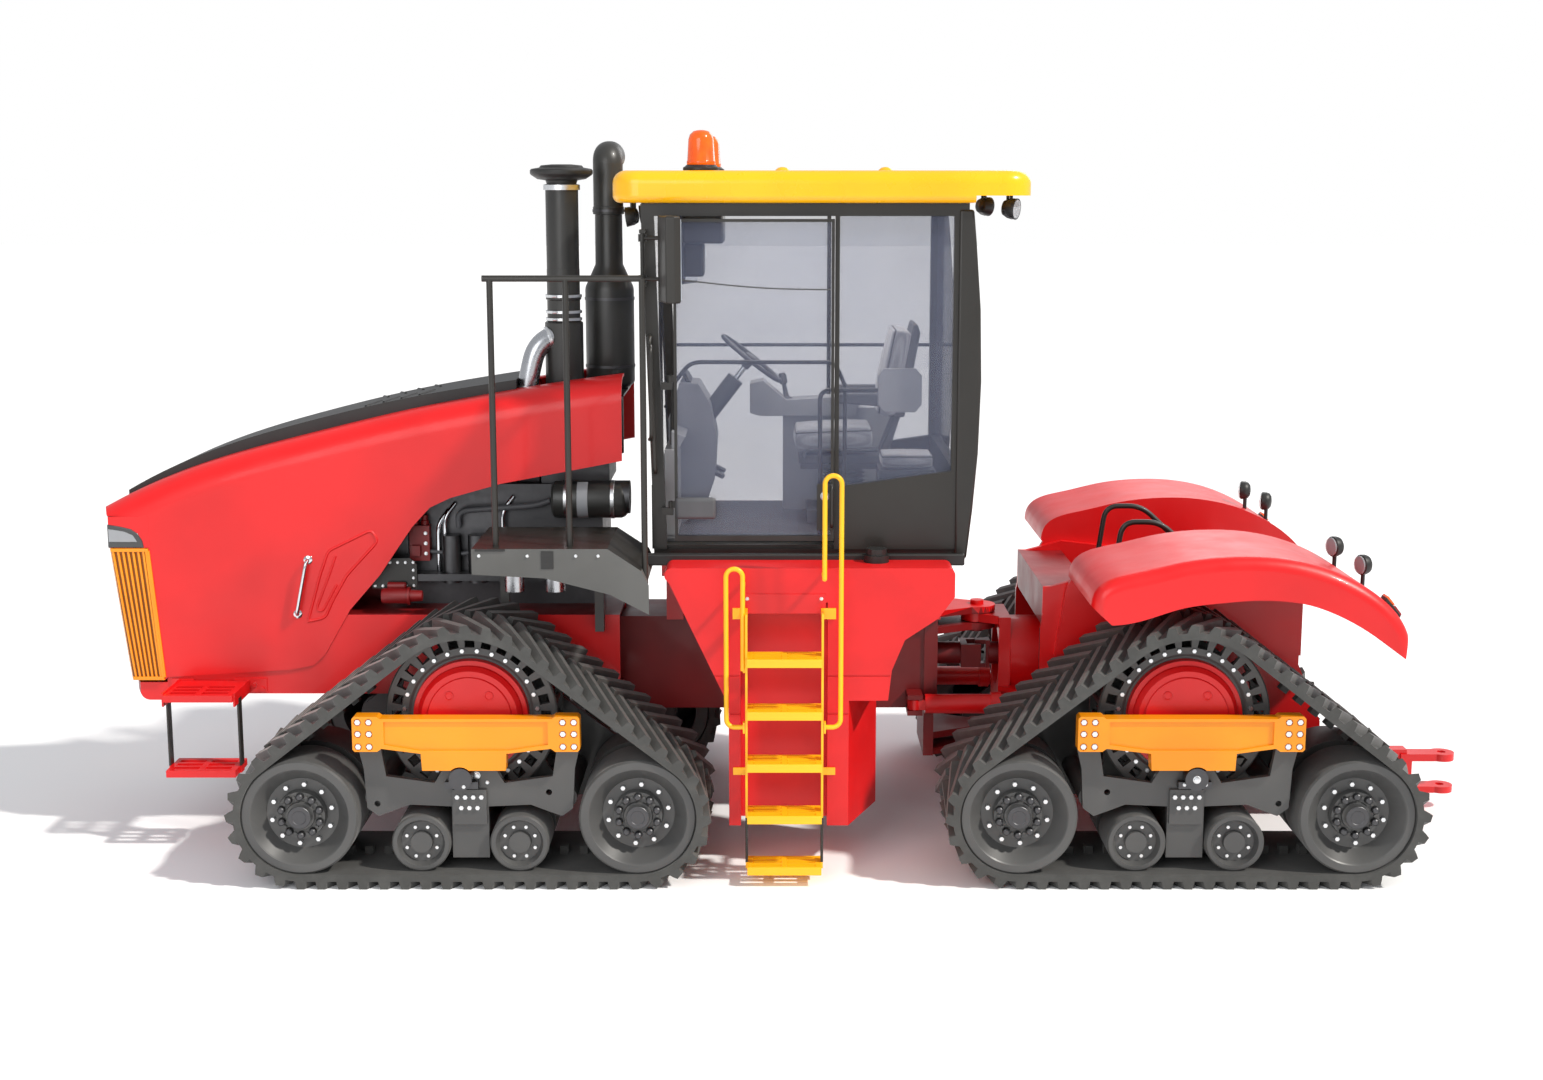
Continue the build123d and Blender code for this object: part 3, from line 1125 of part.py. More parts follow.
step_x = (-3585.0, -3170.0)
with BuildPart() as front_steps:
    for z, y0, y1 in ((930, -900, -frame_half - 12), (490, -900, -640)):
        block(step_x[0] + 10, step_x[1] - 10, y0, y1, z - 40, z)
        for j in range(3):
            y = y0 + 40 + j * 68
            for x in (step_x[0] + 36, (step_x[0] + step_x[1]) / 2 + 12):
                block(x, x + 150, y, y + 40, z - 41, z + 1, Mode.SUBTRACT)
    for x in (step_x[0], step_x[1] - 10):
        side_plate([(x, 930), (x + 10, 930), (x + 10, 450), (x, 450)], -800, -740)
        block(x, x + 10, -880, -frame_half, 860, 935)
    block(step_x[0] - 40, step_x[0] + 90, -frame_half - 10, -frame_half, 862, 942)
    block(step_x[1] - 90, step_x[1] + 100, -frame_half - 10, -frame_half, 862, 942)
    across_bolts([(step_x[0] + 40, 905), (step_x[1] + 30, 905), (step_x[1] + 75, 880)], -frame_half - 10, 14, 12)
save(front_steps.part, "front_steps")

# ================================================================ mirrors and roof lights
mirror_top_z = 3610.0
mirror_bottom_z = 3150.0
for side, word in ((1, "left"), (-1, "right")):
    with BuildPart() as mirror_head:
        x, y = mirror_post_x, -mirror_post_y
        with BuildSketch(Plane.XY.offset(mirror_bottom_z)):
            with BuildLine():
                Polyline((-745, -985), (-690, -975), (-610, -1190), (-640, -1215), (-690, -1215), close=True)
            make_face()
        extrude(amount=mirror_top_z - mirror_bottom_z)
        fillet(mirror_head.edges(), radius=12)
        for z in (3270, 3490):
            bar((x, y, z), (-700, -1010, z), 11)
            bar((x, y, z - 20), (x, y, z + 20), 22)
        for z in (3270, 3490):
            bar((x, y, z - 21), (x, y, z + 21), mirror_pin + running, Mode.SUBTRACT)
    head = mirror_head.part if side > 0 else mirror(mirror_head.part, about=Plane.XZ)
    save(head, f"mirror_{word}")

with BuildPart() as roof_lights:
    for y in (-600, 600):
        for z0, z1, radius, taper in ((3850, 3874, 85, 0), (3874, 4040, 76, 6), (4040, 4072, 56, 30)):
            with BuildSketch(Plane.XY.offset(z0)):
                with Locations((-520, y)):
                    Circle(radius)
            extrude(amount=z1 - z0, taper=taper)
    # Work lamps under the roof, front and rear.
    for y in (-700, -480, 480, 700):
        with BuildSketch(Plane.YZ.offset(-935)):
            with Locations((y, 3600)):
                Circle(52)
        extrude(amount=60)
        block(-915, -890, y - 20, y + 20, 3640, cab_top_z)
    for y in (-760, -600, 600, 760):
        with BuildSketch(Plane.YZ.offset(1150)):
            with Locations((y, 3645)):
                Circle(58)
        extrude(amount=70)
        block(1170, 1200, y - 20, y + 20, 3695, cab_top_z + 40)
save(roof_lights.part, "roof_lights")
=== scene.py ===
"""Articulated four-track tractor: paint, rubber, glass, fittings and soft parts around the fixed frame."""
import math

import bmesh
import bpy
from mathutils import Matrix, Vector


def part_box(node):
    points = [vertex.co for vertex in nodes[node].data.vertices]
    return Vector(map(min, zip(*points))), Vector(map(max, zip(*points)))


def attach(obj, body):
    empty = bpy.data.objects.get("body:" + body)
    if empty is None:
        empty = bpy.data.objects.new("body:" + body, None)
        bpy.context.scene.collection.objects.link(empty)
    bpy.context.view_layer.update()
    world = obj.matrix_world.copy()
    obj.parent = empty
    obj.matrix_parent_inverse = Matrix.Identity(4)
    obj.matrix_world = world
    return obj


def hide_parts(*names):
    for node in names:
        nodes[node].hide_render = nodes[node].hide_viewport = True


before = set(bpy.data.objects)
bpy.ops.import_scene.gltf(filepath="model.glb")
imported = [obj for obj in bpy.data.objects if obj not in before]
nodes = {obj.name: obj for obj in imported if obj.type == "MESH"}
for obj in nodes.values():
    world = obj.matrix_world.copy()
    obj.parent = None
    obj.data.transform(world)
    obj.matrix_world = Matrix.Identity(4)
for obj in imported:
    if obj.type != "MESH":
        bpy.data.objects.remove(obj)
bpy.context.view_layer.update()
scene = bpy.context.scene
MM = 0.001
WAVE_TURN = 6.283  # a wave texture runs through one wave in this length at scale 1
UNITS = ("front_left", "front_right", "rear_left", "rear_right")


# ------------------------------------------------------------------ camera, light and floor
camera_data = bpy.data.cameras.new("camera")
camera_data.lens = 46.66
camera_data.sensor_width = 36.0
camera = bpy.data.objects.new("camera", camera_data)
camera.location = (-0.13, -11.876, 3.759)
camera.rotation_euler = (math.radians(80), 0, 0)
scene.collection.objects.link(camera)
scene.camera = camera
scene.view_settings.view_transform = "Standard"


def linear(code):
    """An sRGB hex colour as linear RGBA."""
    channels = [int(code[i : i + 2], 16) / 255 for i in (1, 3, 5)]
    return (*[c / 12.92 if c <= 0.04045 else ((c + 0.055) / 1.055) ** 2.4 for c in channels], 1.0)


def add(tree, kind, inputs=None, **settings):
    """Add one node with its settings; its inputs are values, or the sockets that feed them."""
    made = tree.nodes.new(kind)
    for key, value in settings.items():
        setattr(made, key, value)
    for key, value in (inputs or {}).items():
        if isinstance(value, bpy.types.NodeSocket):
            tree.links.new(value, made.inputs[key])
        else:
            made.inputs[key].default_value = value
    return made


world = bpy.data.worlds.new("studio")
world.use_nodes = True
sky = world.node_tree
sky.nodes.clear()
studio_light = add(sky, "ShaderNodeBackground", {"Color": linear("#F4F6FA"), "Strength": 0.60})
backdrop = add(sky, "ShaderNodeBackground", {"Color": linear("#FFFFFF"), "Strength": 1.0})
seen = add(sky, "ShaderNodeLightPath").outputs["Is Camera Ray"]
both = add(sky, "ShaderNodeMixShader", {0: seen, 1: studio_light.outputs[0], 2: backdrop.outputs[0]})
add(sky, "ShaderNodeOutputWorld", {"Surface": both.outputs[0]})
scene.world = world


def lamp(name, kind, energy, place, aim, size=1.0, colour="#FFFFFF"):
    """A sun or a soft box at a place, turned to face the aim."""
    data = bpy.data.lights.new(name, kind)
    data.energy = energy
    data.color = linear(colour)[:3]
    if kind == "SUN":
        data.angle = math.radians(size)
    else:
        data.shape = "DISK"
        data.size = size
    made = bpy.data.objects.new(name, data)
    made.location = place
    made.rotation_euler = (Vector(aim) - Vector(place)).to_track_quat("-Z", "Y").to_euler()
    scene.collection.objects.link(made)


lamp("key_sun", "SUN", 3.3, (6.9, -3.0, 7.5), (0, 0, 0), 3.0, "#FFFAF2")
lamp("front_box", "AREA", 330, (-4.0, -10.0, 6.0), (0, -0.5, 1.2), 7.0)
lamp("cab_box", "AREA", 16, (0.1, 0.0, 3.62), (0.05, 0, 2.0), 1.0)
lamp("rear_box", "AREA", 220, (5.0, 9.0, 7.0), (0, 0.5, 1.5), 6.0)


# ------------------------------------------------------------------ materials
def blank(name):
    """An empty material with its surface shader and the object's own coordinates in metres."""
    material = bpy.data.materials.new(name)
    material.use_nodes = True
    tree = material.node_tree
    tree.nodes.clear()
    surface = add(tree, "ShaderNodeBsdfPrincipled")
    add(tree, "ShaderNodeOutputMaterial", {"Surface": surface.outputs[0]})
    place = add(tree, "ShaderNodeTexCoord").outputs["Object"]
    return material, tree, surface, place


def shades(tree, fac, *stops):
    """A colour ramp over a 0 to 1 value, from (position, hex) stops."""
    ramp = add(tree, "ShaderNodeValToRGB", {"Fac": fac})
    for at, code in stops[2:]:
        ramp.color_ramp.elements.new(at)
    for element, (at, code) in zip(ramp.color_ramp.elements, stops):
        element.position = at
        element.color = linear(code)
    return ramp.outputs["Color"]


def sprayed(name, colour, deep, roughness, coat, peel_mm=9.0, peel=0.05):
    """Sprayed enamel: an even colour that deepens a little in patches, under a lacquer with orange peel."""
    material, tree, surface, place = blank(name)
    patches = add(tree, "ShaderNodeTexNoise", {"Vector": place, "Scale": 1.6, "Detail": 3.0})
    tint = shades(tree, patches.outputs["Fac"], (0.35, deep), (0.65, colour))
    tree.links.new(tint, surface.inputs["Base Color"])
    film = add(tree, "ShaderNodeTexNoise", {"Vector": place, "Scale": 5.0, "Detail": 4.0})
    gloss = add(tree, "ShaderNodeMapRange", {"Value": film.outputs["Fac"], "From Min": 0.3, "From Max": 0.7,
                                             "To Min": roughness * 0.85, "To Max": roughness * 1.2})
    tree.links.new(gloss.outputs["Result"], surface.inputs["Roughness"])
    skin = add(tree, "ShaderNodeTexNoise", {"Vector": place, "Scale": 1 / (peel_mm * MM), "Detail": 1.0})
    bump = add(tree, "ShaderNodeBump", {"Height": skin.outputs["Fac"], "Strength": peel,
                                        "Distance": 0.4 * MM})
    tree.links.new(bump.outputs["Normal"], surface.inputs["Normal"])
    surface.inputs["Coat Weight"].default_value = coat
    surface.inputs["Coat Roughness"].default_value = 0.06
    return material


# Polyurethane enamel on pressed steel: deep, wet-looking, with a faint orange peel.
RED = sprayed("red_polyurethane_enamel", "#E00E12", "#D20B0E", 0.38, 0.12)
# A darker, duller red: the own colour of the engine castings, and painted shade on the frames' low and inner
# faces.
DARK_RED = sprayed("dark_red_castings_and_painted_shade", "#8E1013", "#740C0F", 0.46, 0.10, 5.0, 0.15)
# Chrome-yellow enamel on castings and pressed treads.
YELLOW = sprayed("yellow_polyurethane_enamel", "#F59600", "#EA8A00", 0.38, 0.12)
# The ladder's lighter yellow, over-sprayed after the castings.
LADDER = sprayed("light_yellow_enamel", "#FFC216", "#FBB70A", 0.36, 0.15)
# The yellow enamel darkened to paint the shade of the grille's slots on its side plate.
SLOT_SHADE_YELLOW = sprayed("yellow_enamel_painted_slot_shade", "#8A4E00", "#6E3C00", 0.5, 0.0)
# Gelcoat over glass fibre for the roof: smoother and glossier than the sprayed steel.
ROOF = sprayed("yellow_gelcoat", "#FFC00E", "#FCB608", 0.28, 0.25, 14.0, 0.03)
# Satin black powder coat on cab pressings and rails.
BLACK = sprayed("black_powder_coat", "#262420", "#201E1B", 0.42, 0.10, 2.5, 0.12)
# Grey-black paint over cast-iron wheels: satin, slightly lumpy from the mould.
WHEEL = sprayed("grey_painted_cast_iron", "#525251", "#464646", 0.42, 0.12, 6.0, 0.35)
# Baked silicone paint on exhaust pipes: dry and nearly matt.
STACK = sprayed("black_heatproof_paint", "#343432", "#2A2A29", 0.36, 0.05, 1.8, 0.12)
# Mid-grey paint with grit for grip on the platform.
DECK = sprayed("grey_grit_paint", "#5C5C5A", "#50504E", 0.60, 0.0, 2.2, 0.5)


def moulded(name, colour, deep, roughness, grain_mm=1.6, grain=0.25):
    """Injection-moulded plastic: fine leather grain from the mould, slight shade change, no lacquer."""
    material, tree, surface, place = blank(name)
    cells = add(tree, "ShaderNodeTexVoronoi", {"Vector": place, "Scale": 1 / (grain_mm * MM)})
    bump = add(tree, "ShaderNodeBump", {"Height": cells.outputs["Distance"], "Strength": grain,
                                        "Distance": 0.3 * MM})
    tree.links.new(bump.outputs["Normal"], surface.inputs["Normal"])
    wash = add(tree, "ShaderNodeTexNoise", {"Vector": place, "Scale": 4.0, "Detail": 4.0})
    tree.links.new(shades(tree, wash.outputs["Fac"], (0.3, deep), (0.7, colour)),
                   surface.inputs["Base Color"])
    surface.inputs["Roughness"].default_value = roughness
    return material


# ABS, grained, for the black panels of the hood and the lamp shells.
PANEL = moulded("black_grained_abs", "#262625", "#1D1D1D", 0.45, 3.0)
# Soft grey dash and console mouldings.
DASH = moulded("grey_grained_polypropylene", "#A2A4A8", "#929498", 0.60)
# Darker mouldings: wheel rim, bellows, pedals.
TRIM = moulded("charcoal_grained_polypropylene", "#55565A", "#48494C", 0.55)
# Rotationally moulded polyethylene for the tanks: waxy red, a coarse soft skin.
TANK = moulded("red_rotomoulded_polyethylene", "#E01417", "#D21013", 0.40, 9.0, 0.08)


def vulcanised(name, colour, worn, dust):
    """Vulcanised rubber: matt black-grey, a fine crumb, and dry dust in random patches."""
    material, tree, surface, place = blank(name)
    crumb = add(tree, "ShaderNodeTexNoise",
                {"Vector": place, "Scale": 1 / (3 * MM), "Detail": 6.0, "Roughness": 0.7})
    scuffs = add(tree, "ShaderNodeTexNoise",
                 {"Vector": place, "Scale": 9.0, "Detail": 8.0, "Roughness": 0.65})
    tint = shades(tree, scuffs.outputs["Fac"], (0.42, colour), (0.62, worn), (0.9, dust))
    tree.links.new(tint, surface.inputs["Base Color"])
    bump = add(tree, "ShaderNodeBump", {"Height": crumb.outputs["Fac"], "Strength": 0.35,
                                        "Distance": 0.8 * MM})
    tree.links.new(bump.outputs["Normal"], surface.inputs["Normal"])
    surface.inputs["Roughness"].default_value = 0.62
    surface.inputs["Sheen Weight"].default_value = 0.15
    return material


# Carbon-black rubber of the belts, and the slightly glossier bonded tyres of the wheels.
RUBBER = vulcanised("black_belt_rubber", "#3C3C3A", "#464644", "#55544F")
TYRE = vulcanised("bonded_wheel_rubber", "#3F3F3E", "#484847", "#52514E")


def metal(name, colour, roughness, brush_mm=1.2, brush=0.08):
    """Bare or plated metal with faint working marks."""
    material, tree, surface, place = blank(name)
    marks = add(tree, "ShaderNodeTexNoise", {"Vector": place, "Scale": 1 / (brush_mm * MM), "Detail": 2.0})
    bump = add(tree, "ShaderNodeBump", {"Height": marks.outputs["Fac"], "Strength": brush,
                                        "Distance": 0.2 * MM})
    tree.links.new(bump.outputs["Normal"], surface.inputs["Normal"])
    tint = add(tree, "ShaderNodeTexNoise", {"Vector": place, "Scale": 30.0})
    gloss = add(tree, "ShaderNodeMapRange", {"Value": tint.outputs["Fac"], "To Min": roughness * 0.7,
                                             "To Max": roughness * 1.3})
    tree.links.new(gloss.outputs["Result"], surface.inputs["Roughness"])
    surface.inputs["Base Color"].default_value = linear(colour)
    surface.inputs["Metallic"].default_value = 1.0
    return material


# Zinc-plated bolt heads: pale and bright.
ZINC = metal("zinc_plated_steel", "#E6E8EA", 0.32)
# Hard chrome on rods and the grab handles.
CHROME = metal("hard_chrome", "#D6D8DC", 0.08, 0.8, 0.02)
# Spun aluminium of the intake elbow and canisters.
ALUMINIUM = metal("spun_aluminium", "#C2C4C8", 0.28, 2.0, 0.10)
# Dark phosphated bolts and engine iron.
IRON = metal("phosphated_iron", "#5A5A5C", 0.45, 1.5, 0.2)


def clear(name, colour, alpha, roughness=0.03):
    """Glazing: a tinted film that shows what is behind it and mirrors the studio."""
    material, tree, surface, place = blank(name)
    haze = add(tree, "ShaderNodeTexNoise", {"Vector": place, "Scale": 2.5, "Detail": 5.0})
    dust = add(tree, "ShaderNodeMapRange", {"Value": haze.outputs["Fac"], "From Min": 0.3, "From Max": 0.8,
                                            "To Min": alpha * 0.96, "To Max": alpha * 1.08})
    tree.links.new(dust.outputs["Result"], surface.inputs["Alpha"])
    surface.inputs["Base Color"].default_value = linear(colour)
    surface.inputs["Roughness"].default_value = roughness
    return material


# Laminated cab glass with a cool grey tint.
GLASS = clear("tinted_laminated_glass", "#6A7188", 0.25)
# Smoked acrylic cover of the head lamps: near black and very smooth.
SMOKED = sprayed("smoked_acrylic", "#3A3B3C", "#303132", 0.14, 0.5, 30.0, 0.01)
# Clear polycarbonate over the lamps; a pale strip of it on each head lamp paints a highlight.
LENS = clear("clear_polycarbonate", "#E8ECF2", 0.35)
# Silvered glass of the mirrors.
MIRROR = metal("silvered_mirror_glass", "#E4E8EE", 0.03, 5.0, 0.0)


def fluted(name, colour, deep, flute_mm=9.0):
    """Moulded acrylic lens: strong colour, upright flutes that break the light."""
    material, tree, surface, place = blank(name)
    flutes = add(tree, "ShaderNodeTexWave",
                 {"Vector": place, "Scale": 1 / (flute_mm * MM) / WAVE_TURN, "Distortion": 0.0})
    bump = add(tree, "ShaderNodeBump", {"Height": flutes.outputs["Fac"], "Strength": 0.25,
                                        "Distance": 1.0 * MM})
    tree.links.new(bump.outputs["Normal"], surface.inputs["Normal"])
    wash = add(tree, "ShaderNodeTexNoise", {"Vector": place, "Scale": 12.0})
    tree.links.new(shades(tree, wash.outputs["Fac"], (0.3, deep), (0.7, colour)),
                   surface.inputs["Base Color"])
    surface.inputs["Roughness"].default_value = 0.18
    surface.inputs["Coat Weight"].default_value = 0.4
    return material


AMBER = fluted("amber_fluted_acrylic", "#FF6A00", "#F25400")
RED_LENS = fluted("red_fluted_acrylic", "#A80A0A", "#8C0606")


def woven(name, colour, thread, thread_mm=4.0):
    """Woven polyester seat cloth: two crossing shades, soft sheen. Drawn at 4 mm a thread to show."""
    material, tree, surface, place = blank(name)
    warp = add(tree, "ShaderNodeTexWave",
               {"Vector": place, "Scale": 1 / (thread_mm * MM) / WAVE_TURN, "Distortion": 0.4},
               bands_direction="X")
    weft = add(tree, "ShaderNodeTexWave",
               {"Vector": place, "Scale": 1 / (thread_mm * MM) / WAVE_TURN, "Distortion": 0.4},
               bands_direction="Y")
    cross = add(tree, "ShaderNodeMath", {0: warp.outputs["Fac"], 1: weft.outputs["Fac"]},
                operation="MULTIPLY")
    tree.links.new(shades(tree, cross.outputs["Value"], (0.1, thread), (0.7, colour)),
                   surface.inputs["Base Color"])
    bump = add(tree, "ShaderNodeBump", {"Height": cross.outputs["Value"], "Strength": 0.4,
                                        "Distance": 0.6 * MM})
    tree.links.new(bump.outputs["Normal"], surface.inputs["Normal"])
    surface.inputs["Roughness"].default_value = 0.85
    surface.inputs["Sheen Weight"].default_value = 0.4
    return material


SEAT = woven("grey_woven_polyester", "#B2B4B8", "#8C8E94")
PIPING = moulded("grey_vinyl_piping", "#4C4E52", "#424448", 0.5, 1.2)

floor_material, floor_tree, floor_surface, floor_place = blank("pale_studio_floor")
sweep = add(floor_tree, "ShaderNodeTexNoise", {"Vector": floor_place, "Scale": 0.4})
floor_tree.links.new(shades(floor_tree, sweep.outputs["Fac"], (0.3, "#F6F7FA"), (0.7, "#FAFBFC")),
                     floor_surface.inputs["Base Color"])
floor_surface.inputs["Roughness"].default_value = 0.9
floor_surface.inputs["Specular IOR Level"].default_value = 0.1
floor_mesh = bpy.data.meshes.new("floor")
floor_mesh.from_pydata([(-60, -40, 0), (60, -40, 0), (60, 120, 0), (-60, 120, 0)], [], [(0, 1, 2, 3)])
floor = bpy.data.objects.new("floor", floor_mesh)
floor.data.materials.append(floor_material)
floor.location.z = -0.0006
scene.collection.objects.link(floor)


# ------------------------------------------------------------------ finishes on the frame's own nodes
def finish(name, default, *rules):
    """Give a node its finish; each rule is a finish and a test of a face's middle in mm and its normal."""
    mesh = nodes[name].data
    mesh.materials.clear()
    for material in (default, *[rule[0] for rule in rules]):
        mesh.materials.append(material)
    for face in mesh.polygons:
        middle = face.center / MM
        face.material_index = 0
        for i, (_, test) in enumerate(rules):
            if test(middle, face.normal):
                face.material_index = i + 1
                break


def near_ring(middle, x, z, pitch_radius, radius):
    """Whether a point's distance from an axle is that of a bolt on a ring."""
    return abs(math.hypot(middle.x - x, middle.z - z) - pitch_radius) < radius


def lower(name):
    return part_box(name)[0] / MM


def upper(name):
    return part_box(name)[1] / MM


def centre(name):
    return (lower(name) + upper(name)) / 2


ring_face_y = 1279.0  # outer face of a sprocket's outer ring
for unit in UNITS:
    axle = centre(f"drive_sprocket_{unit}")
    finish(f"track_belt_{unit}", RUBBER)
    finish(
        f"drive_sprocket_{unit}", WHEEL,
        (RED, lambda m, n: abs(m.y) > ring_face_y - 9 and math.hypot(m.x - axle.x, m.z - axle.z) < 320),
        (ZINC, lambda m, n: abs(m.y) > ring_face_y - 1 and near_ring(m, axle.x, axle.z, 364, 14)
         and (abs(m.y) > ring_face_y + 1)),
    )
    for wheel in ("idler_front", "idler_rear"):
        hub = centre(f"{wheel}_{unit}")
        finish(
            f"{wheel}_{unit}", WHEEL,
            (TYRE, lambda m, n: math.hypot(m.x - hub.x, m.z - hub.z) > 307),
            (ZINC, lambda m, n: near_ring(m, hub.x, hub.z, 166, 14.5) and 1391.5 < abs(m.y) < 1420),
        )
    for wheel in ("roller_front", "roller_rear"):
        hub = centre(f"{wheel}_{unit}")
        finish(
            f"{wheel}_{unit}", WHEEL,
            (TYRE, lambda m, n: math.hypot(m.x - hub.x, m.z - hub.z) > 151),
            (ZINC, lambda m, n: near_ring(m, hub.x, hub.z, 88, 10.8) and 1400.5 < abs(m.y) < 1420),
        )
    finish(
        f"carrier_beam_{unit}", YELLOW,
        (ZINC, lambda m, n: abs(m.y) > 1481 and min(
            math.hypot(abs(m.x - axle.x) - x, m.z - z) for x in (520, 580) for z in (800, 870, 935)) < 16.8
         and not (abs(m.y) < 1482.5 and abs(n.y) > 0.9)),
    )
    finish(
        f"track_frame_{unit}", WHEEL,
        (ZINC, lambda m, n: 1425.5 < abs(m.y) < 1445 and abs(m.x - axle.x) < 84 and 424 < m.z < 516),
        (IRON, lambda m, n: abs(m.y) > 1410 and abs(m.z - 615) < 64),
    )

# The front frame's low rear faces and its faces inside the hood take the darker red as painted shade.
finish("front_frame", RED,
       (DARK_RED, lambda m, n: m.x > -1060 and m.z < 1252 or abs(m.y) < 536 and m.x < -1000
        and abs(n.y) < 0.9))
# The rear frame's front part and its faces inside its sides take the darker red as painted shade.
finish("rear_frame", RED, (DARK_RED, lambda m, n: m.x < 1420 or abs(m.y) < 559))
finish("rear_fenders", RED)
finish("articulation_yoke", RED)
finish("drawbar", RED)
for side in ("left", "right"):
    finish(f"steering_barrel_{side}", RED)
    finish(f"steering_rod_{side}", CHROME)
    finish(f"mirror_{side}", BLACK)
finish("hood_shell", RED)
finish("hood_top_panel", PANEL)
# The grille's side-facing faces take the darkened yellow: painted shade standing for its slots.
finish("grille", YELLOW, (SLOT_SHADE_YELLOW, lambda m, n: abs(n.y) > 0.9 and abs(m.y) > 545))
finish("engine", IRON)
finish("stacks", STACK)
finish("cab_frame", BLACK)
finish("cab_glass", GLASS)
finish("cab_roof", ROOF)
finish("cab_door", BLACK,
       (GLASS, lambda m, n: -868 < m.y < -860 and -648 < m.x < 196 and 1848 < m.z < 3571 and abs(n.y) > 0.5))
finish("cab_console", DASH)
finish("operator_seat", SEAT)
finish("steering_wheel", TRIM)
finish("fuel_tanks", TANK, (PANEL, lambda m, n: m.z > 1721))
finish("access_ladder", LADDER)
finish("service_platform", DECK,
       (BLACK, lambda m, n: abs(m.y + 1240) < 19 and m.z > 1856 or m.z > 1880 or n.z > 0.5),
       (ALUMINIUM, lambda m, n: m.z < 1840 and 1500 <= m.z and abs(m.y + 720) < 57 and
        min(abs(m.x + 1590), abs(m.x + 1360)) < 57))
step_bolts = ((-3545, 905), (-3140, 905))
finish("front_steps", RED,
       (ZINC, lambda m, n: -562 < m.y < -547.5 and m.z > 862 and abs(n.y) < 0.99
        and any(math.hypot(m.x - x, m.z - z) < 15 for x, z in step_bolts)))
finish("roof_lights", PANEL, (AMBER, lambda m, n: m.z > 3875))

# ------------------------------------------------------------------ tools for the added pieces
class Form:
    """A mesh in the making, in millimetres; every shape put into it takes a finish by its number."""

    def __init__(self):
        self.mesh = bmesh.new()

    def skin(self, rings, finish=0, caps=True, smooth=True):
        """Join equal closed rings of points one after another, and close the two ends."""
        rows = [[self.mesh.verts.new(Vector(point) * MM) for point in ring] for ring in rings]
        made = []
        for low, high in zip(rows, rows[1:]):
            for i in range(len(low)):
                j = (i + 1) % len(low)
                made.append(self.mesh.faces.new((low[i], low[j], high[j], high[i])))
                made[-1].smooth = smooth
        if caps:
            made += [self.mesh.faces.new(rows[0][::-1]), self.mesh.faces.new(rows[-1])]
        for face in made:
            face.material_index = finish

    def prism(self, outline, start, end, plane="XZ", finish=0):
        """A flat outline drawn out along the axis that its plane leaves."""
        place = {"XZ": lambda a, b, t: (a, t, b), "XY": lambda a, b, t: (a, b, t),
                 "YZ": lambda a, b, t: (t, a, b)}[plane]
        self.skin([[place(a, b, t) for a, b in outline] for t in (start, end)], finish, smooth=False)

    def slab(self, x0, x1, y0, y1, z0, z1, finish=0):
        """A squared block between its corners."""
        self.prism([(x0, z0), (x1, z0), (x1, z1), (x0, z1)], y0, y1, finish=finish)

    def lathe(self, start, axis, profile, finish=0, sides=40):
        """A turned shape; its profile is (distance along the axis, radius)."""
        turn = Vector(axis).to_track_quat("Z", "Y")
        self.skin([[Vector(start) + turn @ Vector((r * math.cos(2 * math.pi * i / sides),
                                                   r * math.sin(2 * math.pi * i / sides), along))
                    for i in range(sides)] for along, r in profile], finish)

    def tube(self, points, radius, bend=0.0, finish=0, sides=16):
        """A bent steel tube, its corners eased over the bend's length."""
        points = [Vector(point) for point in points]
        route = [points[0]]
        for before, corner, after in zip(points, points[1:], points[2:]):
            start = corner + (before - corner).normalized() * min(bend, (before - corner).length / 2)
            end = corner + (after - corner).normalized() * min(bend, (after - corner).length / 2)
            for i in range(7):
                t = i / 6
                route.append(start * (1 - t) ** 2 + corner * 2 * t * (1 - t) + end * t ** 2)
        route.append(points[-1])
        route = [a for a, b in zip(route, route[1:]) if (a - b).length > 0.1] + [route[-1]]
        rings = []
        way = (route[1] - route[0]).normalized()
        across = way.orthogonal().normalized()
        for i, place in enumerate(route):
            ahead = (route[min(i + 1, len(route) - 1)] - route[max(i - 1, 0)]).normalized()
            across = way.rotation_difference(ahead) @ across
            way = ahead
            other = way.cross(across)
            turns = [2 * math.pi * k / sides for k in range(sides)]
            rings.append([place + (across * math.cos(a) + other * math.sin(a)) * radius for a in turns])
        self.skin(rings, finish)

    def bolt(self, place, axis, radius, height, finish=0):
        """A hexagon head with its corners eased, on a round washer face."""
        self.lathe(place, axis, [(0, radius * 1.15), (1.5, radius * 1.15)], finish, 20)
        self.lathe(place, axis, [(1.5, radius), (height - 1.5, radius), (height, radius * 0.86)], finish, 6)


def piece(form, name, body, *materials, bevel=1.5):
    """Make a form into an object on a body, its edges eased by the bevel in mm."""
    bmesh.ops.recalc_face_normals(form.mesh, faces=form.mesh.faces)
    data = bpy.data.meshes.new(name)
    form.mesh.to_mesh(data)
    form.mesh.free()
    data.set_sharp_from_angle(angle=math.radians(35))
    for material in materials:
        data.materials.append(material)
    made = bpy.data.objects.new(name, data)
    scene.collection.objects.link(made)
    if bevel:
        edge = made.modifiers.new("eased_edges", "BEVEL")
        edge.width = bevel * MM
        edge.segments = 3
        edge.limit_method = "ANGLE"
        edge.angle_limit = math.radians(40)
    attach(made, body)
    return made


def on_top(name, x, y):
    """Height in mm of a node's upper surface at a place."""
    hit, place, _, _ = nodes[name].ray_cast(Vector((x * MM, y * MM, 9.0)), Vector((0, 0, -1)))
    return place.z / MM if hit else 0.0


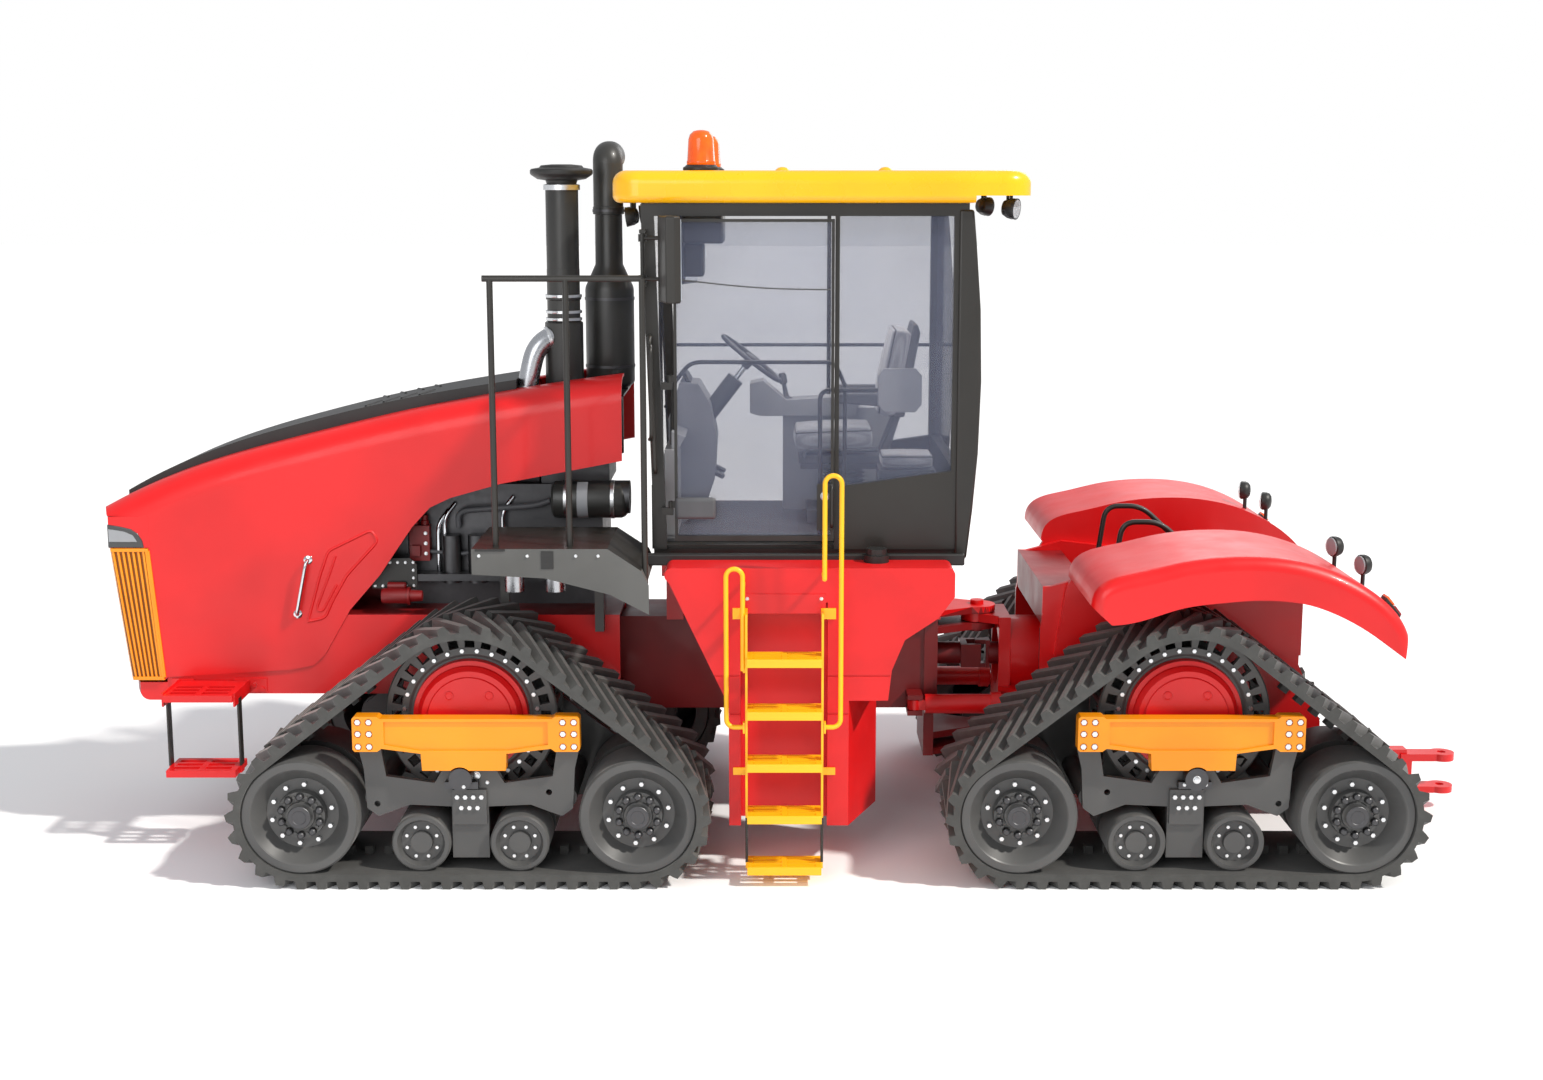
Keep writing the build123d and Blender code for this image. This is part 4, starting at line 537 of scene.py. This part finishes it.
def on_side(name, x, z, side):
    """Y in mm of a node's outer surface on one side at a place, or 0 where there is none."""
    hit, place, _, _ = nodes[name].ray_cast(Vector((x * MM, side * 3.0, z * MM)), Vector((0, -side, 0)))
    return place.y / MM if hit and abs(place.y) > 1.3 else 0.0


def cushion(name, body, middle, size, tilt, crown, channels):
    """A stitched foam cushion: crowned faces, sides drawn in, sewn channels and a piped seam."""
    shell = bmesh.new()
    bmesh.ops.create_cube(shell, size=2.0)
    bmesh.ops.subdivide_edges(shell, edges=shell.edges, cuts=23, use_grid_fill=True)
    turn = Matrix.Rotation(math.radians(tilt), 3, "Y")
    half = Vector(size) / 2

    def swell(p):
        """Where a point of a two-unit cube lies on the cushion."""
        x, y, z = p
        ball = Vector((x * math.sqrt(max(0, 1 - y * y / 2 - z * z / 2 + y * y * z * z / 3)),
                       y * math.sqrt(max(0, 1 - z * z / 2 - x * x / 2 + z * z * x * x / 3)),
                       z * math.sqrt(max(0, 1 - x * x / 2 - y * y / 2 + x * x * y * y / 3))))
        q = Vector(p).lerp(ball, 0.34)
        spot = Vector((q.x * half.x, q.y * half.y, q.z * half.z))
        spot.z += crown * (1 - x ** 2) * (1 - y ** 2) * z
        spot.x -= 0.03 * size[0] * (1 - y ** 2) * x
        spot.y -= 0.03 * size[1] * (1 - x ** 2) * y
        if z > 0.2:
            dip = sum(math.exp(-(((abs(y) - c) / 0.05) ** 2)) for c in channels) * (1 - x ** 8)
            dip += math.exp(-(((x - 0.1) / 0.05) ** 2)) * (1 - y ** 8) * 0.7
            spot.z -= 7.0 * dip * z
        return (Vector(middle) + turn @ spot) * MM

    for vert in shell.verts:
        vert.co = swell(vert.co)
    for face in shell.faces:
        face.smooth = True
    data = bpy.data.meshes.new(name)
    shell.to_mesh(data)
    shell.free()
    data.materials.append(SEAT)
    pad = bpy.data.objects.new(name, data)
    scene.collection.objects.link(pad)
    pad.modifiers.new("soft", "SUBSURF").render_levels = 1
    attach(pad, body)
    seam = bpy.data.curves.new(f"{name}_piping", "CURVE")
    seam.dimensions = "3D"
    seam.bevel_depth = 4 * MM
    loop = seam.splines.new("POLY")
    edge = [i / 12 for i in range(-12, 12)]
    rim = [(t, -1) for t in edge] + [(1, t) for t in edge]
    rim += [(-a, -b) for a, b in rim]
    loop.points.add(len(rim) - 1)
    for point, (a, b) in zip(loop.points, rim):
        point.co = (*swell(Vector((a, b, 0.72))), 1)
    loop.use_cyclic_u = True
    seam.materials.append(PIPING)
    piping = bpy.data.objects.new(f"{name}_piping", seam)
    scene.collection.objects.link(piping)
    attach(piping, body)
    return pad


SIDES = ((-1, "left"), (1, "right"))

# ------------------------------------------------------------------ hood and nose
for side, word in SIDES:
    grab = Form()
    grab.tube([(-2800, side * 545, 1645), (-2804, side * 590, 1640), (-2868, side * 590, 1332),
               (-2871, side * 545, 1327)], 11, 42)
    for x, z in ((-2800, 1645), (-2871, 1327)):
        grab.lathe((x, side * 549, z), (0, side, 0), [(0, 26), (4, 26), (9, 15)])
    piece(grab, f"hood_grab_handle_{word}", "hood", CHROME)
    crease = Form()
    outline = [(-2815, 1282), (-2715, 1303), (-2665, 1409), (-2579, 1557), (-2393, 1756), (-2431, 1820),
               (-2683, 1697), (-2734, 1557), (-2815, 1282), (-2770, 1291)]
    crease.tube([(x, side * 547, z) for x, z in outline], 9, 30)
    crease.tube([(-2641, side * 547, 1668), (-2680, side * 547, 1560), (-2765, side * 547, 1352),
                 (-2728, side * 547, 1340), (-2640, side * 547, 1500)], 8, 30)
    piece(crease, f"hood_pressed_ridge_{word}", "hood", RED)
    cheek = Form()
    cheek.prism([(-3941, 1714), (-3708, 1714), (-3708, 1900), (-3941, 1896)], side * 545, side * 550.5)
    piece(cheek, f"headlight_cheek_{word}", "hood", RED)
    shade = Form()
    shade.prism([(-3946, 1716), (-3741, 1716), (-3748, 1756), (-3772, 1798), (-3812, 1826), (-3880, 1842),
                 (-3946, 1852)], side * 545, side * 555)
    piece(shade, f"headlight_shade_{word}", "hood", SMOKED, bevel=4)
    # A pale clear strip over the smoked cover paints the head lamp's highlight.
    glare = Form()
    glare.prism([(-3940, 1752), (-3778, 1752), (-3800, 1790), (-3850, 1812), (-3940, 1826)], side * 554,
                side * 557)
    piece(glare, f"headlight_painted_highlight_{word}", "hood", LENS, bevel=1)
    blades = Form()
    for i in range(8):
        top_x = -3926 + 29 * i
        foot_x = -3832 + 24 * i
        blades.prism([(foot_x, 952), (foot_x + 11, 952), (top_x + 13, 1700), (top_x, 1700)],
                     side * 545, side * 559)
    blades.prism([(-3842, 936), (-3660, 936), (-3664, 956), (-3844, 956)], side * 545, side * 562)
    blades.prism([(-3930, 1694), (-3716, 1694), (-3718, 1713), (-3932, 1713)], side * 545, side * 562)
    blades.prism([(-3676, 936), (-3660, 936), (-3720, 1713), (-3736, 1713)], side * 545, side * 561)
    piece(blades, f"grille_side_blades_{word}", "hood", YELLOW)
    vents = Form()
    for i in range(4):
        x = -2490 + 105 * i
        ends = [(x, side * 285), (x + 60, side * 110)]
        vents.tube([(a, b, on_top("hood_top_panel", a, b) - 1) for a, b in ends], 9, sides=12)
    piece(vents, f"hood_louvre_lips_{word}", "hood", PANEL)

# ------------------------------------------------------------------ engine bay, left side
filter_can = Form()
filter_can.lathe((-1402, -400, 1976), (1, 0, 0), [(0, 40), (0, 88), (14, 104), (34, 108), (150, 108)])
filter_can.lathe((-1252, -400, 1976), (1, 0, 0), [(0, 108), (0, 109.5), (62, 109.5), (62, 108)], 1)
filter_can.lathe((-1190, -400, 1976), (1, 0, 0), [(0, 108), (190, 108), (212, 100), (226, 84), (226, 30)])
for x in (-1330, -1060):
    filter_can.lathe((x, -400, 1976), (1, 0, 0), [(0, 108), (0, 112), (22, 112), (22, 108)], 2)
piece(filter_can, "air_filter_canister", "chassis", STACK, DASH, ZINC)
block_set = Form()
block_set.slab(-2245, -2128, -372, -300, 1607, 1815)
block_set.slab(-2230, -2180, -398, -372, 1640, 1700)
block_set.lathe((-2158, -336, 1815), (0, 0, 1), [(0, 24), (26, 24), (30, 18), (58, 18)])
block_set.lathe((-2212, -336, 1815), (0, 0, 1), [(0, 20), (18, 20), (24, 14), (40, 14)])
for z in (1650, 1710, 1770):
    block_set.bolt((-2150, -372, z), (0, -1, 0), 10, 10, 1)
piece(block_set, "fuel_valve_block", "chassis", DARK_RED, ZINC, bevel=4)
plate = Form()
plate.prism([(-2455, 1458), (-2192, 1458), (-2192, 1600), (-2230, 1637), (-2455, 1637)], -452, -440)
for i in range(6):
    for j in range(4):
        if 0 < i < 5 and 0 < j < 3:
            continue
        plate.bolt((-2438 + 45 * i, -452, 1474 + 46 * j), (0, -1, 0), 8, 9, 1)
piece(plate, "engine_side_cover", "chassis", BLACK, ZINC, bevel=2)
starter = Form()
starter.lathe((-2392, -492, 1423), (1, 0, 0), [(0, 20), (0, 40), (12, 45), (150, 45), (150, 52), (164, 52),
                                              (164, 36), (234, 30), (234, 10)])
starter.lathe((-2360, -470, 1478), (1, 0, 0), [(0, 22), (100, 22), (108, 14)])
piece(starter, "starter_motor", "chassis", DARK_RED, bevel=1)
pipes = Form()
for i, x in enumerate((-2080, -2040, -1700)):
    pipes.tube([(x, -318, 1500), (x, -345, 1560), (x, -345, 1820 + 40 * i), (x + 60, -310, 1900 + 40 * i)],
               13, 50)
pipes.tube([(-1960, -330, 1800), (-1960, -345, 1900), (-1500, -345, 1930), (-1420, -345, 1960)], 18, 70, 1)
pipes.tube([(-2128, -350, 1660), (-1900, -360, 1640), (-1760, -345, 1720), (-1560, -330, 1720)], 12, 90, 1)
piece(pipes, "engine_pipes", "chassis", CHROME, TRIM)

# ------------------------------------------------------------------ intake and exhaust
stack = Form()
x, y = -1095, 120
stack.lathe((x, y, 2180), (0, 0, 1), [(0, 74), (380, 74), (396, 110), (424, 140), (440, 145), (980, 145),
                                      (1000, 141), (1090, 100), (1130, 82), (1440, 80)], sides=56)
stack.lathe((x, y, 3600), (0, 0, 1), [(0, 80), (4, 92), (44, 92), (48, 88), (300, 88)], sides=48)
stack.tube([(x, y, 3860), (x, y, 3941), (x, y + 170, 3941)], 88, 120, sides=48)
stack.lathe((x, y + 160, 3941), (0, 1, 0), [(0, 86), (14, 90), (14, 78), (0, 74), (-30, 60)], 1)
for z in (2700, 3100, 3615):
    radius = 147 if z < 3200 else 93
    stack.lathe((x, y, z), (0, 0, 1), [(0, radius - 3), (0, radius + 2), (16, radius + 2), (16, radius - 3)],
                1)
piece(stack, "exhaust_stack", "chassis", STACK, IRON, bevel=1)
intake = Form()
x, y = -1345, -120
intake.lathe((x, y, 2180), (0, 0, 1), [(0, 88), (430, 88), (440, 112), (800, 112), (812, 96), (1110, 96)],
             sides=48)
intake.lathe((x, y, 3110), (0, 0, 1), [(0, 96), (8, 104), (30, 104), (36, 95), (640, 95), (648, 80),
                                       (662, 80)],
             sides=48)
intake.lathe((x, y, 3772), (0, 0, 1), [(0, 84), (26, 92), (34, 140), (58, 176), (66, 181), (84, 181),
                                       (92, 174),
                                      (100, 128), (112, 118), (118, 60)], 2, sides=56)
intake.lathe((x, y, 3744), (0, 0, 1), [(0, 96), (0, 106), (30, 106), (34, 92)], 1)
for z in (2994, 3036, 3128):
    intake.lathe((x, y, z), (0, 0, 1), [(0, 94), (0, 107), (16, 107), (16, 94)], 1)
    intake.bolt((x - 30, y - 104, z + 8), (-1, 0, 0), 8, 26, 1)
piece(intake, "intake_stack", "chassis", STACK, ZINC, PANEL, bevel=1)
elbow = Form()
elbow.tube([(-1556, -210, 2560), (-1548, -210, 2660), (-1502, -200, 2850), (-1380, -150, 2920)], 60, 90,
           sides=32)
for place, axis in (((-1553, -210, 2600), (0.08, 0, 1)), ((-1440, -175, 2892), (0.9, 0.3, 0.3))):
    elbow.lathe(place, axis, [(0, 60), (0, 66), (18, 66), (18, 60)], 1)
piece(elbow, "intake_elbow", "chassis", ALUMINIUM, ZINC, bevel=1)
shelf = Form()
shelf.slab(-1590, -988, -290, 290, 2561, 2574)
made_shelf = piece(shelf, "stack_shelf", "chassis", STACK)
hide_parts("stacks")

# ------------------------------------------------------------------ lamps
beacons = Form()
for y in (-600, 600):
    beacons.lathe((-520, y, 3849), (0, 0, 1), [(0, 96), (6, 101), (18, 101), (26, 88), (32, 84)])
    beacons.lathe((-520, y, 3881), (0, 0, 1), [(0, 78), (4, 80), (20, 80), (24, 77), (140, 70), (165, 62),
                                              (184, 42), (190, 16)], 1)
roof_set = piece(beacons, "beacons", "chassis", PANEL, AMBER, bevel=0.8)
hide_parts("roof_lights")
work = Form()
for y in (-700, -480, 480, 700):
    work.lathe((-876, y, 3604), (-1, 0, -0.12), [(0, 20), (6, 38), (30, 50), (54, 54), (58, 54), (58, 47)])
    work.lathe((-926, y, 3598), (-1, 0, -0.12), [(0, 12), (2, 38), (8, 47)], 1)
    work.lathe((-930, y, 3597), (-1, 0, -0.12), [(0, 47), (3, 47), (6, 30)], 2)
    work.tube([(-900, y, 3640), (-900, y, 3685)], 9)
for y in (-760, -600, 600, 760):
    aim = Vector((1, 0.55 if y > 0 else -0.55, -0.12)).normalized()
    back = Vector((1158, y, 3648))
    work.lathe(back, aim, [(0, 20), (6, 40), (34, 54), (58, 58), (62, 58), (62, 51)])
    work.lathe(back + aim * 54, aim, [(0, 12), (2, 40), (8, 51)], 1)
    work.lathe(back + aim * 59, aim, [(0, 51), (3, 51), (6, 32)], 2)
    work.tube([(1184, y, 3690), (1184, y, 3730)], 9)
piece(work, "work_lamps", "chassis", PANEL, CHROME, LENS, bevel=0.6)

# ------------------------------------------------------------------ inside the cab
floor_z = 1780
interior = Form()
interior.slab(-740, 880, -700, 700, floor_z, floor_z + 18, 1)
for i in range(18):
    interior.slab(-700 + 80 * i, -660 + 80 * i, -640, 640, floor_z + 18, floor_z + 21, 1)
interior.slab(80, 520, -200, 200, floor_z + 20, floor_z + 100, 1)
interior.slab(40, 560, -170, 170, 2120, 2150, 1)
interior.prism([(-736, 1798), (-650, 1798), (-520, 1900), (-466, 2060), (-452, 2300), (-486, 2500),
                (-560, 2626),
                (-668, 2634), (-736, 2420)], -178, 178)
interior.slab(-738, -664, -600, 600, 1800, 2290)
interior.prism([(-700, 2290), (-660, 2290), (-620, 2360), (-700, 2390)], -560, 560)
interior.slab(-60, 600, 330, 480, 1800, 2430)
interior.prism([(-200, 2382), (380, 2382), (412, 2470), (300, 2500), (-40, 2480), (-180, 2597), (-262, 2580),
                (-262, 2400)], 300, 500)
interior.slab(480, 800, -640, -330, 1800, 2180, 1)
console = piece(interior, "cab_mouldings", "chassis", DASH, TRIM, bevel=16)
bellows = Form()
bellows.lathe((300, 0, floor_z + 95), (0, 0, 1),
              [(i * 12, 128 if i % 2 else 108) for i in range(22)], sides=48)
bellows.tube([(-560, 0, 2360), (-343, 0, 2642)], 52)
bellows.tube([(-350, 0, 2632), (-264, 0, 2742)], 16, finish=1)
bellows.lathe((26 - 60, 400, 2470), (-0.2, 0, 1), [(0, 40), (8, 40), (14, 26), (30, 16), (100, 12), (104, 24),
                                                  (150, 26), (170, 18)])
for y in (-120, 120):
    bellows.prism([(-560, 2130), (-420, 2060), (-406, 2075), (-550, 2150)], y - 45, y + 45)
    bellows.tube([(-640, y, 2020), (-500, y, 2098)], 10, finish=1)
piece(bellows, "seat_bellows_and_column", "chassis", TRIM, CHROME, bevel=1)
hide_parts("cab_console")
cushion("passenger_cushion", "chassis", (640, -485, 2226), (318, 306, 84), 0, 8, (0.0,))
dial = Form()
dial.prism([(-150, 0), (150, 0), (150, 150), (110, 180), (-110, 180), (-150, 150)], -500, -474, "YZ")
dial_middle, dial_place = Vector((-0.487, 0, 0)), Vector((-0.560, 0, 2.520))
dial_lean = Matrix.Rotation(math.radians(-28), 3, "Y")
for vert in dial.mesh.verts:
    vert.co = dial_place + dial_lean @ (vert.co - dial_middle)
piece(dial, "instrument_cluster", "chassis", PANEL, bevel=6)
screen = Form()
screen.prism([(465, 2560), (500, 2517), (676, 2517), (711, 2560), (711, 2722), (676, 2764), (500, 2764),
              (465, 2722)],
             -716, -690)
screen.tube([(144, -700, 1800), (142, -700, 2641), (470, -700, 2641)], 13, 60, 1)
piece(screen, "side_display_on_its_post", "chassis", DASH, BLACK, bevel=5)
rails = Form()
rails.tube([(-699, -450, 2640), (-595, -450, 2776), (233, -450, 2776), (291, -450, 2640)], 12, 60)
rails.tube([(-699, -450, 2300), (-699, -450, 2650)], 12)
rails.tube([(291, -450, 2650), (291, -450, 1800)], 12)
rails.tube([(-800, 826, 2776), (900, 826, 2776)], 11)
piece(rails, "cab_grab_tubes", "chassis", BLACK)
visor = Form()
visor.slab(-650, -406, -180, 180, 3438, 3628)
visor.slab(-645, -524, -110, 110, 3244, 3438)
piece(visor, "roof_console_and_screen", "chassis", PANEL, bevel=18)

wheel_axis = Vector((0.62, 0, 0.785)).normalized()
wheel_middle = Vector((-250, 0, 2760))
turn = wheel_axis.to_track_quat("Z", "Y")
wheel = Form()
rim_radius, rim_half, rim_steps, rim_sides = 211, 13, 72, 16
section = [2 * math.pi * k / rim_sides for k in range(rim_sides)]
rings = []
for i in range(rim_steps):
    a = 2 * math.pi * i / rim_steps
    spoke = Vector((math.cos(a), math.sin(a), 0))
    rings.append([wheel_middle + turn @ (spoke * (rim_radius + rim_half * math.cos(b))
                                         + Vector((0, 0, rim_half * math.sin(b)))) for b in section])
wheel.skin(rings + rings[:1], caps=False)
for i in range(3):
    a = 2 * math.pi * (i / 3 + 0.25)
    root = Vector((math.cos(a), math.sin(a), 0))
    wheel.tube([wheel_middle + turn @ (root * 30 + Vector((0, 0, -12))), wheel_middle + turn @ (root * 140),
                wheel_middle + turn @ (root * 208)], 9, 60, 0)
wheel.lathe(wheel_middle - wheel_axis * 68, wheel_axis,
            [(0, 24), (40, 30), (52, 46), (76, 46), (84, 38), (88, 12)])
made_wheel = piece(wheel, "steering_wheel_rim", "steering_wheel", TRIM, bevel=0.8)
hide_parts("steering_wheel")

seat_base = Form()
seat_base.slab(30, 570, -195, 195, 2152, 2208)
seat_base.prism([(500, 2190), (560, 2190), (636, 2440), (600, 2440)], -110, 110)
seat_base.tube([(60, -215, 2190), (60, -215, 2240), (500, -215, 2240)], 12, 40)
seat_base.prism([(556, 2430), (650, 2430), (738, 2920), (722, 2975), (700, 2975)], -200, 200)
for side in (-1, 1):
    seat_base.prism([(250, 2520), (560, 2500), (590, 2560), (560, 2580), (270, 2580), (235, 2550)],
                    side * 262 - 22, side * 262 + 22)
made_base = piece(seat_base, "seat_frame", "operator_seat", TRIM, bevel=12)
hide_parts("operator_seat")
cushion("seat_cushion", "operator_seat", (236, 0, 2300), (500, 488, 150), -2, 14, (0.56,))
cushion("seat_backrest", "operator_seat", (586, 0, 2690), (560, 470, 130), -79, 16, (0.56,))

# ------------------------------------------------------------------ outside of the cab
for side, word in SIDES:
    shell = Form()
    shell.prism([(895, 1700), (962, 1706), (992, 1980), (1018, 2300), (1030, 2700), (1020, 3100), (992, 3460),
                 (975, 3640), (895, 3640)], side * 790, side * 850)
    piece(shell, f"rear_post_cover_{word}", "chassis", BLACK, bevel=14)
    sill = Form()
    sill.prism([(-836, 1686), (944, 1686), (944, 1752), (-836, 1752)], side * 900, side * 949)
    piece(sill, f"cab_sill_{word}", "chassis", PANEL, bevel=10)
    stay = Form()
    stay.tube([(-838, side * 930, 3232), (-838, side * 930, 1830), (-838, side * 880, 1770)], 12, 60)
    stay.tube([(-806, side * 840, 2920), (-790, side * 962, 2900), (-790, side * 962, 2400),
               (-806, side * 840, 2380)],
              11, 50)
    piece(stay, f"mirror_stay_{word}", "chassis", BLACK)
    glass = Form()
    glass.prism([(-684, side * 986), (-612, side * 1178), (-607, side * 1176), (-679, side * 984)], 3168,
                3592, "XY")
    piece(glass, f"mirror_glass_{word}", f"mirror_{word}", MIRROR, bevel=1)
block_out = Form()
block_out.slab(-662, -437, -958, -912, 1948, 2068)
piece(block_out, "door_outer_pocket", "cab_door", TRIM, bevel=18)
latch = Form()
latch.slab(122, 208, -908, -896, 1880, 2140)
latch.lathe((166, -908, 2072), (0, -1, 0), [(0, 26), (4, 26), (6, 20), (12, 20), (14, 15)], 1)
latch.slab(150, 182, -924, -908, 1920, 2010)
piece(latch, "door_latch", "cab_door", BLACK, ALUMINIUM, bevel=5)
blind = Form()
blind.tube([(-636, -870, 3262), (-200, -870, 3214), (196, -870, 3208)], 4, 300)
piece(blind, "door_pane_band", "cab_door", TRIM)
nubs = Form()
for x in (-70, 500):
    nubs.lathe((x, -640, 3846), (0, 0, 1), [(0, 40), (8, 38), (20, 24), (24, 8)])
piece(nubs, "roof_bosses", "chassis", ROOF)

# ------------------------------------------------------------------ rear body
for side, word in SIDES:
    pods = Form()
    for x, middle in ((3041, 1772), (3206, 1668)) if side < 0 else ((2906, 1846), (3044, 1776)):
        foot = on_top("rear_fenders", x, side * 800)
        pods.tube([(x, side * 800, foot - 6), (x, side * 800, middle - 40)], 12)
        pods.lathe((x + 34, side * 800, middle), (-1, side * 0.35, 0),
                   [(0, 12), (4, 34), (16, 50), (34, 57), (58, 58), (64, 52)], sides=32)
        pods.lathe((x - 26, side * 821, middle), (-1, side * 0.35, 0), [(0, 52), (8, 50), (14, 26)], 1, 32)
    piece(pods, f"fender_lamps_{word}", "rear_chassis", PANEL, LENS, bevel=1)
    tail = Form()
    tail.prism([(3130, 1540), (3222, 1480), (3232, 1506), (3152, 1604)], side * 1380 - 44, side * 1380 + 44)
    tail.prism([(3229, 1488), (3240, 1512), (3204, 1558), (3190, 1552)], side * 1380 - 38, side * 1380 + 38,
               finish=1)
    tail.prism([(3190, 1560), (3202, 1564), (3162, 1612), (3150, 1602)], side * 1380 - 38, side * 1380 + 38,
               finish=2)
    piece(tail, f"tail_lamp_{word}", "rear_chassis", PANEL, RED_LENS, AMBER, bevel=4)
    hoop = Form()
    hoop.tube([(1890, side * 300, 1540), (1930, side * 300, 1825), (2150, side * 300, 1825),
               (2448, side * 300, 1548)], 16, 80)
    piece(hoop, f"valve_guard_hoop_{word}", "rear_chassis", BLACK)

# ------------------------------------------------------------------ platform, tank and ladder
# Dark plates on the platform's side plate paint the shade in its cut-outs; bolts run along it.
cutout_shade = Form()
cutout_shade.prism([(-1366, 1742), (-1300, 1742), (-1300, 1838), (-1366, 1838)], -1334, -1329)
cutout_shade.prism([(-1720, 1838), (-1560, 1838), (-1560, 1850), (-1720, 1850)], -1336, -1329)
for x in (-1700, -1440, -1180, -1060):
    cutout_shade.bolt((x, -1330, 1812), (0, -1, 0), 8, 7, 1)
piece(cutout_shade, "platform_cutout_shade_plates", "chassis", PANEL, ZINC, bevel=1)
plate = Form()
plate.slab(-286, 166, -1206, -1199, 1470, 1578)
for x in (-262, 142):
    plate.bolt((x, -1206, 1552), (0, -1, 0), 9, 9, 1)
piece(plate, "ladder_head_plate", "chassis", RED, ZINC, bevel=2)
lips = Form()
for i in range(5):
    z = 1270 - 290 * i
    lips.slab(-262, 142, -1474, -1468, z - 40, z + 6)
piece(lips, "tread_noses", "chassis", LADDER, bevel=2)
boots = Form()
for x in (-272, 140):
    boots.slab(x - 1, x + 13, -1374, -1310, 112, 364)
piece(boots, "ladder_lower_stiles", "chassis", BLACK)
legs = Form()
for x in (-3585, -3180):
    legs.slab(x - 1, x + 11, -802, -738, 492, 889)
piece(legs, "front_step_legs", "chassis", BLACK)

# ------------------------------------------------------------------ track units
for unit in UNITS:
    side = -1 if unit.endswith("left") else 1
    axle = centre(f"drive_sprocket_{unit}")
    face = abs(upper(f"drive_sprocket_{unit}").y if side > 0 else lower(f"drive_sprocket_{unit}").y)
    cap = Form()
    cap.lathe((axle.x, side * (face - 6), axle.z), (0, side, 0), [(0, 232), (8, 232), (14, 226), (15, 40)],
              sides=64)
    for angle in (50, 130, 270):
        a = math.radians(angle)
        cap.lathe((axle.x + 168 * math.cos(a), side * (face + 6), axle.z + 168 * math.sin(a)), (0, side, 0),
                  [(0, 26), (7, 25), (8, 19), (4, 17), (4, 6)], sides=28)
    piece(cap, f"hub_cap_bosses_{unit}", f"sprocket_{unit}", RED, bevel=1)
    frame_bolts = Form()
    for x, z, size in ((38, 615, 19), (-20, 575, 9), (96, 575, 9), (333, 640, 10), (-333, 640, 10)):
        spot = on_side(f"track_frame_{unit}", axle.x + x, z, side)
        if spot:
            frame_bolts.bolt((axle.x + x, spot, z), (0, side, 0), size, size * 0.7)
    piece(frame_bolts, f"track_frame_bolts_{unit}", f"undercarriage_{unit}", ZINC, bevel=0.8)
    for wheel in ("idler_front", "idler_rear"):
        hub = centre(f"{wheel}_{unit}")
        lugs = Form()
        for i in range(10):
            a = math.radians(36 * i + 18)
            lugs.lathe((hub.x + 108 * math.cos(a), side * 1440, hub.z + 108 * math.sin(a)), (0, side, 0),
                       [(0, 22), (26, 19), (32, 12)], sides=16)
        lugs.lathe((hub.x, side * 1484, hub.z), (0, side, 0), [(0, 64), (4, 60), (4, 40), (1, 36), (1, 12)])
        piece(lugs, f"hub_lugs_{wheel}_{unit}", f"{wheel}_{unit}", IRON, bevel=1)
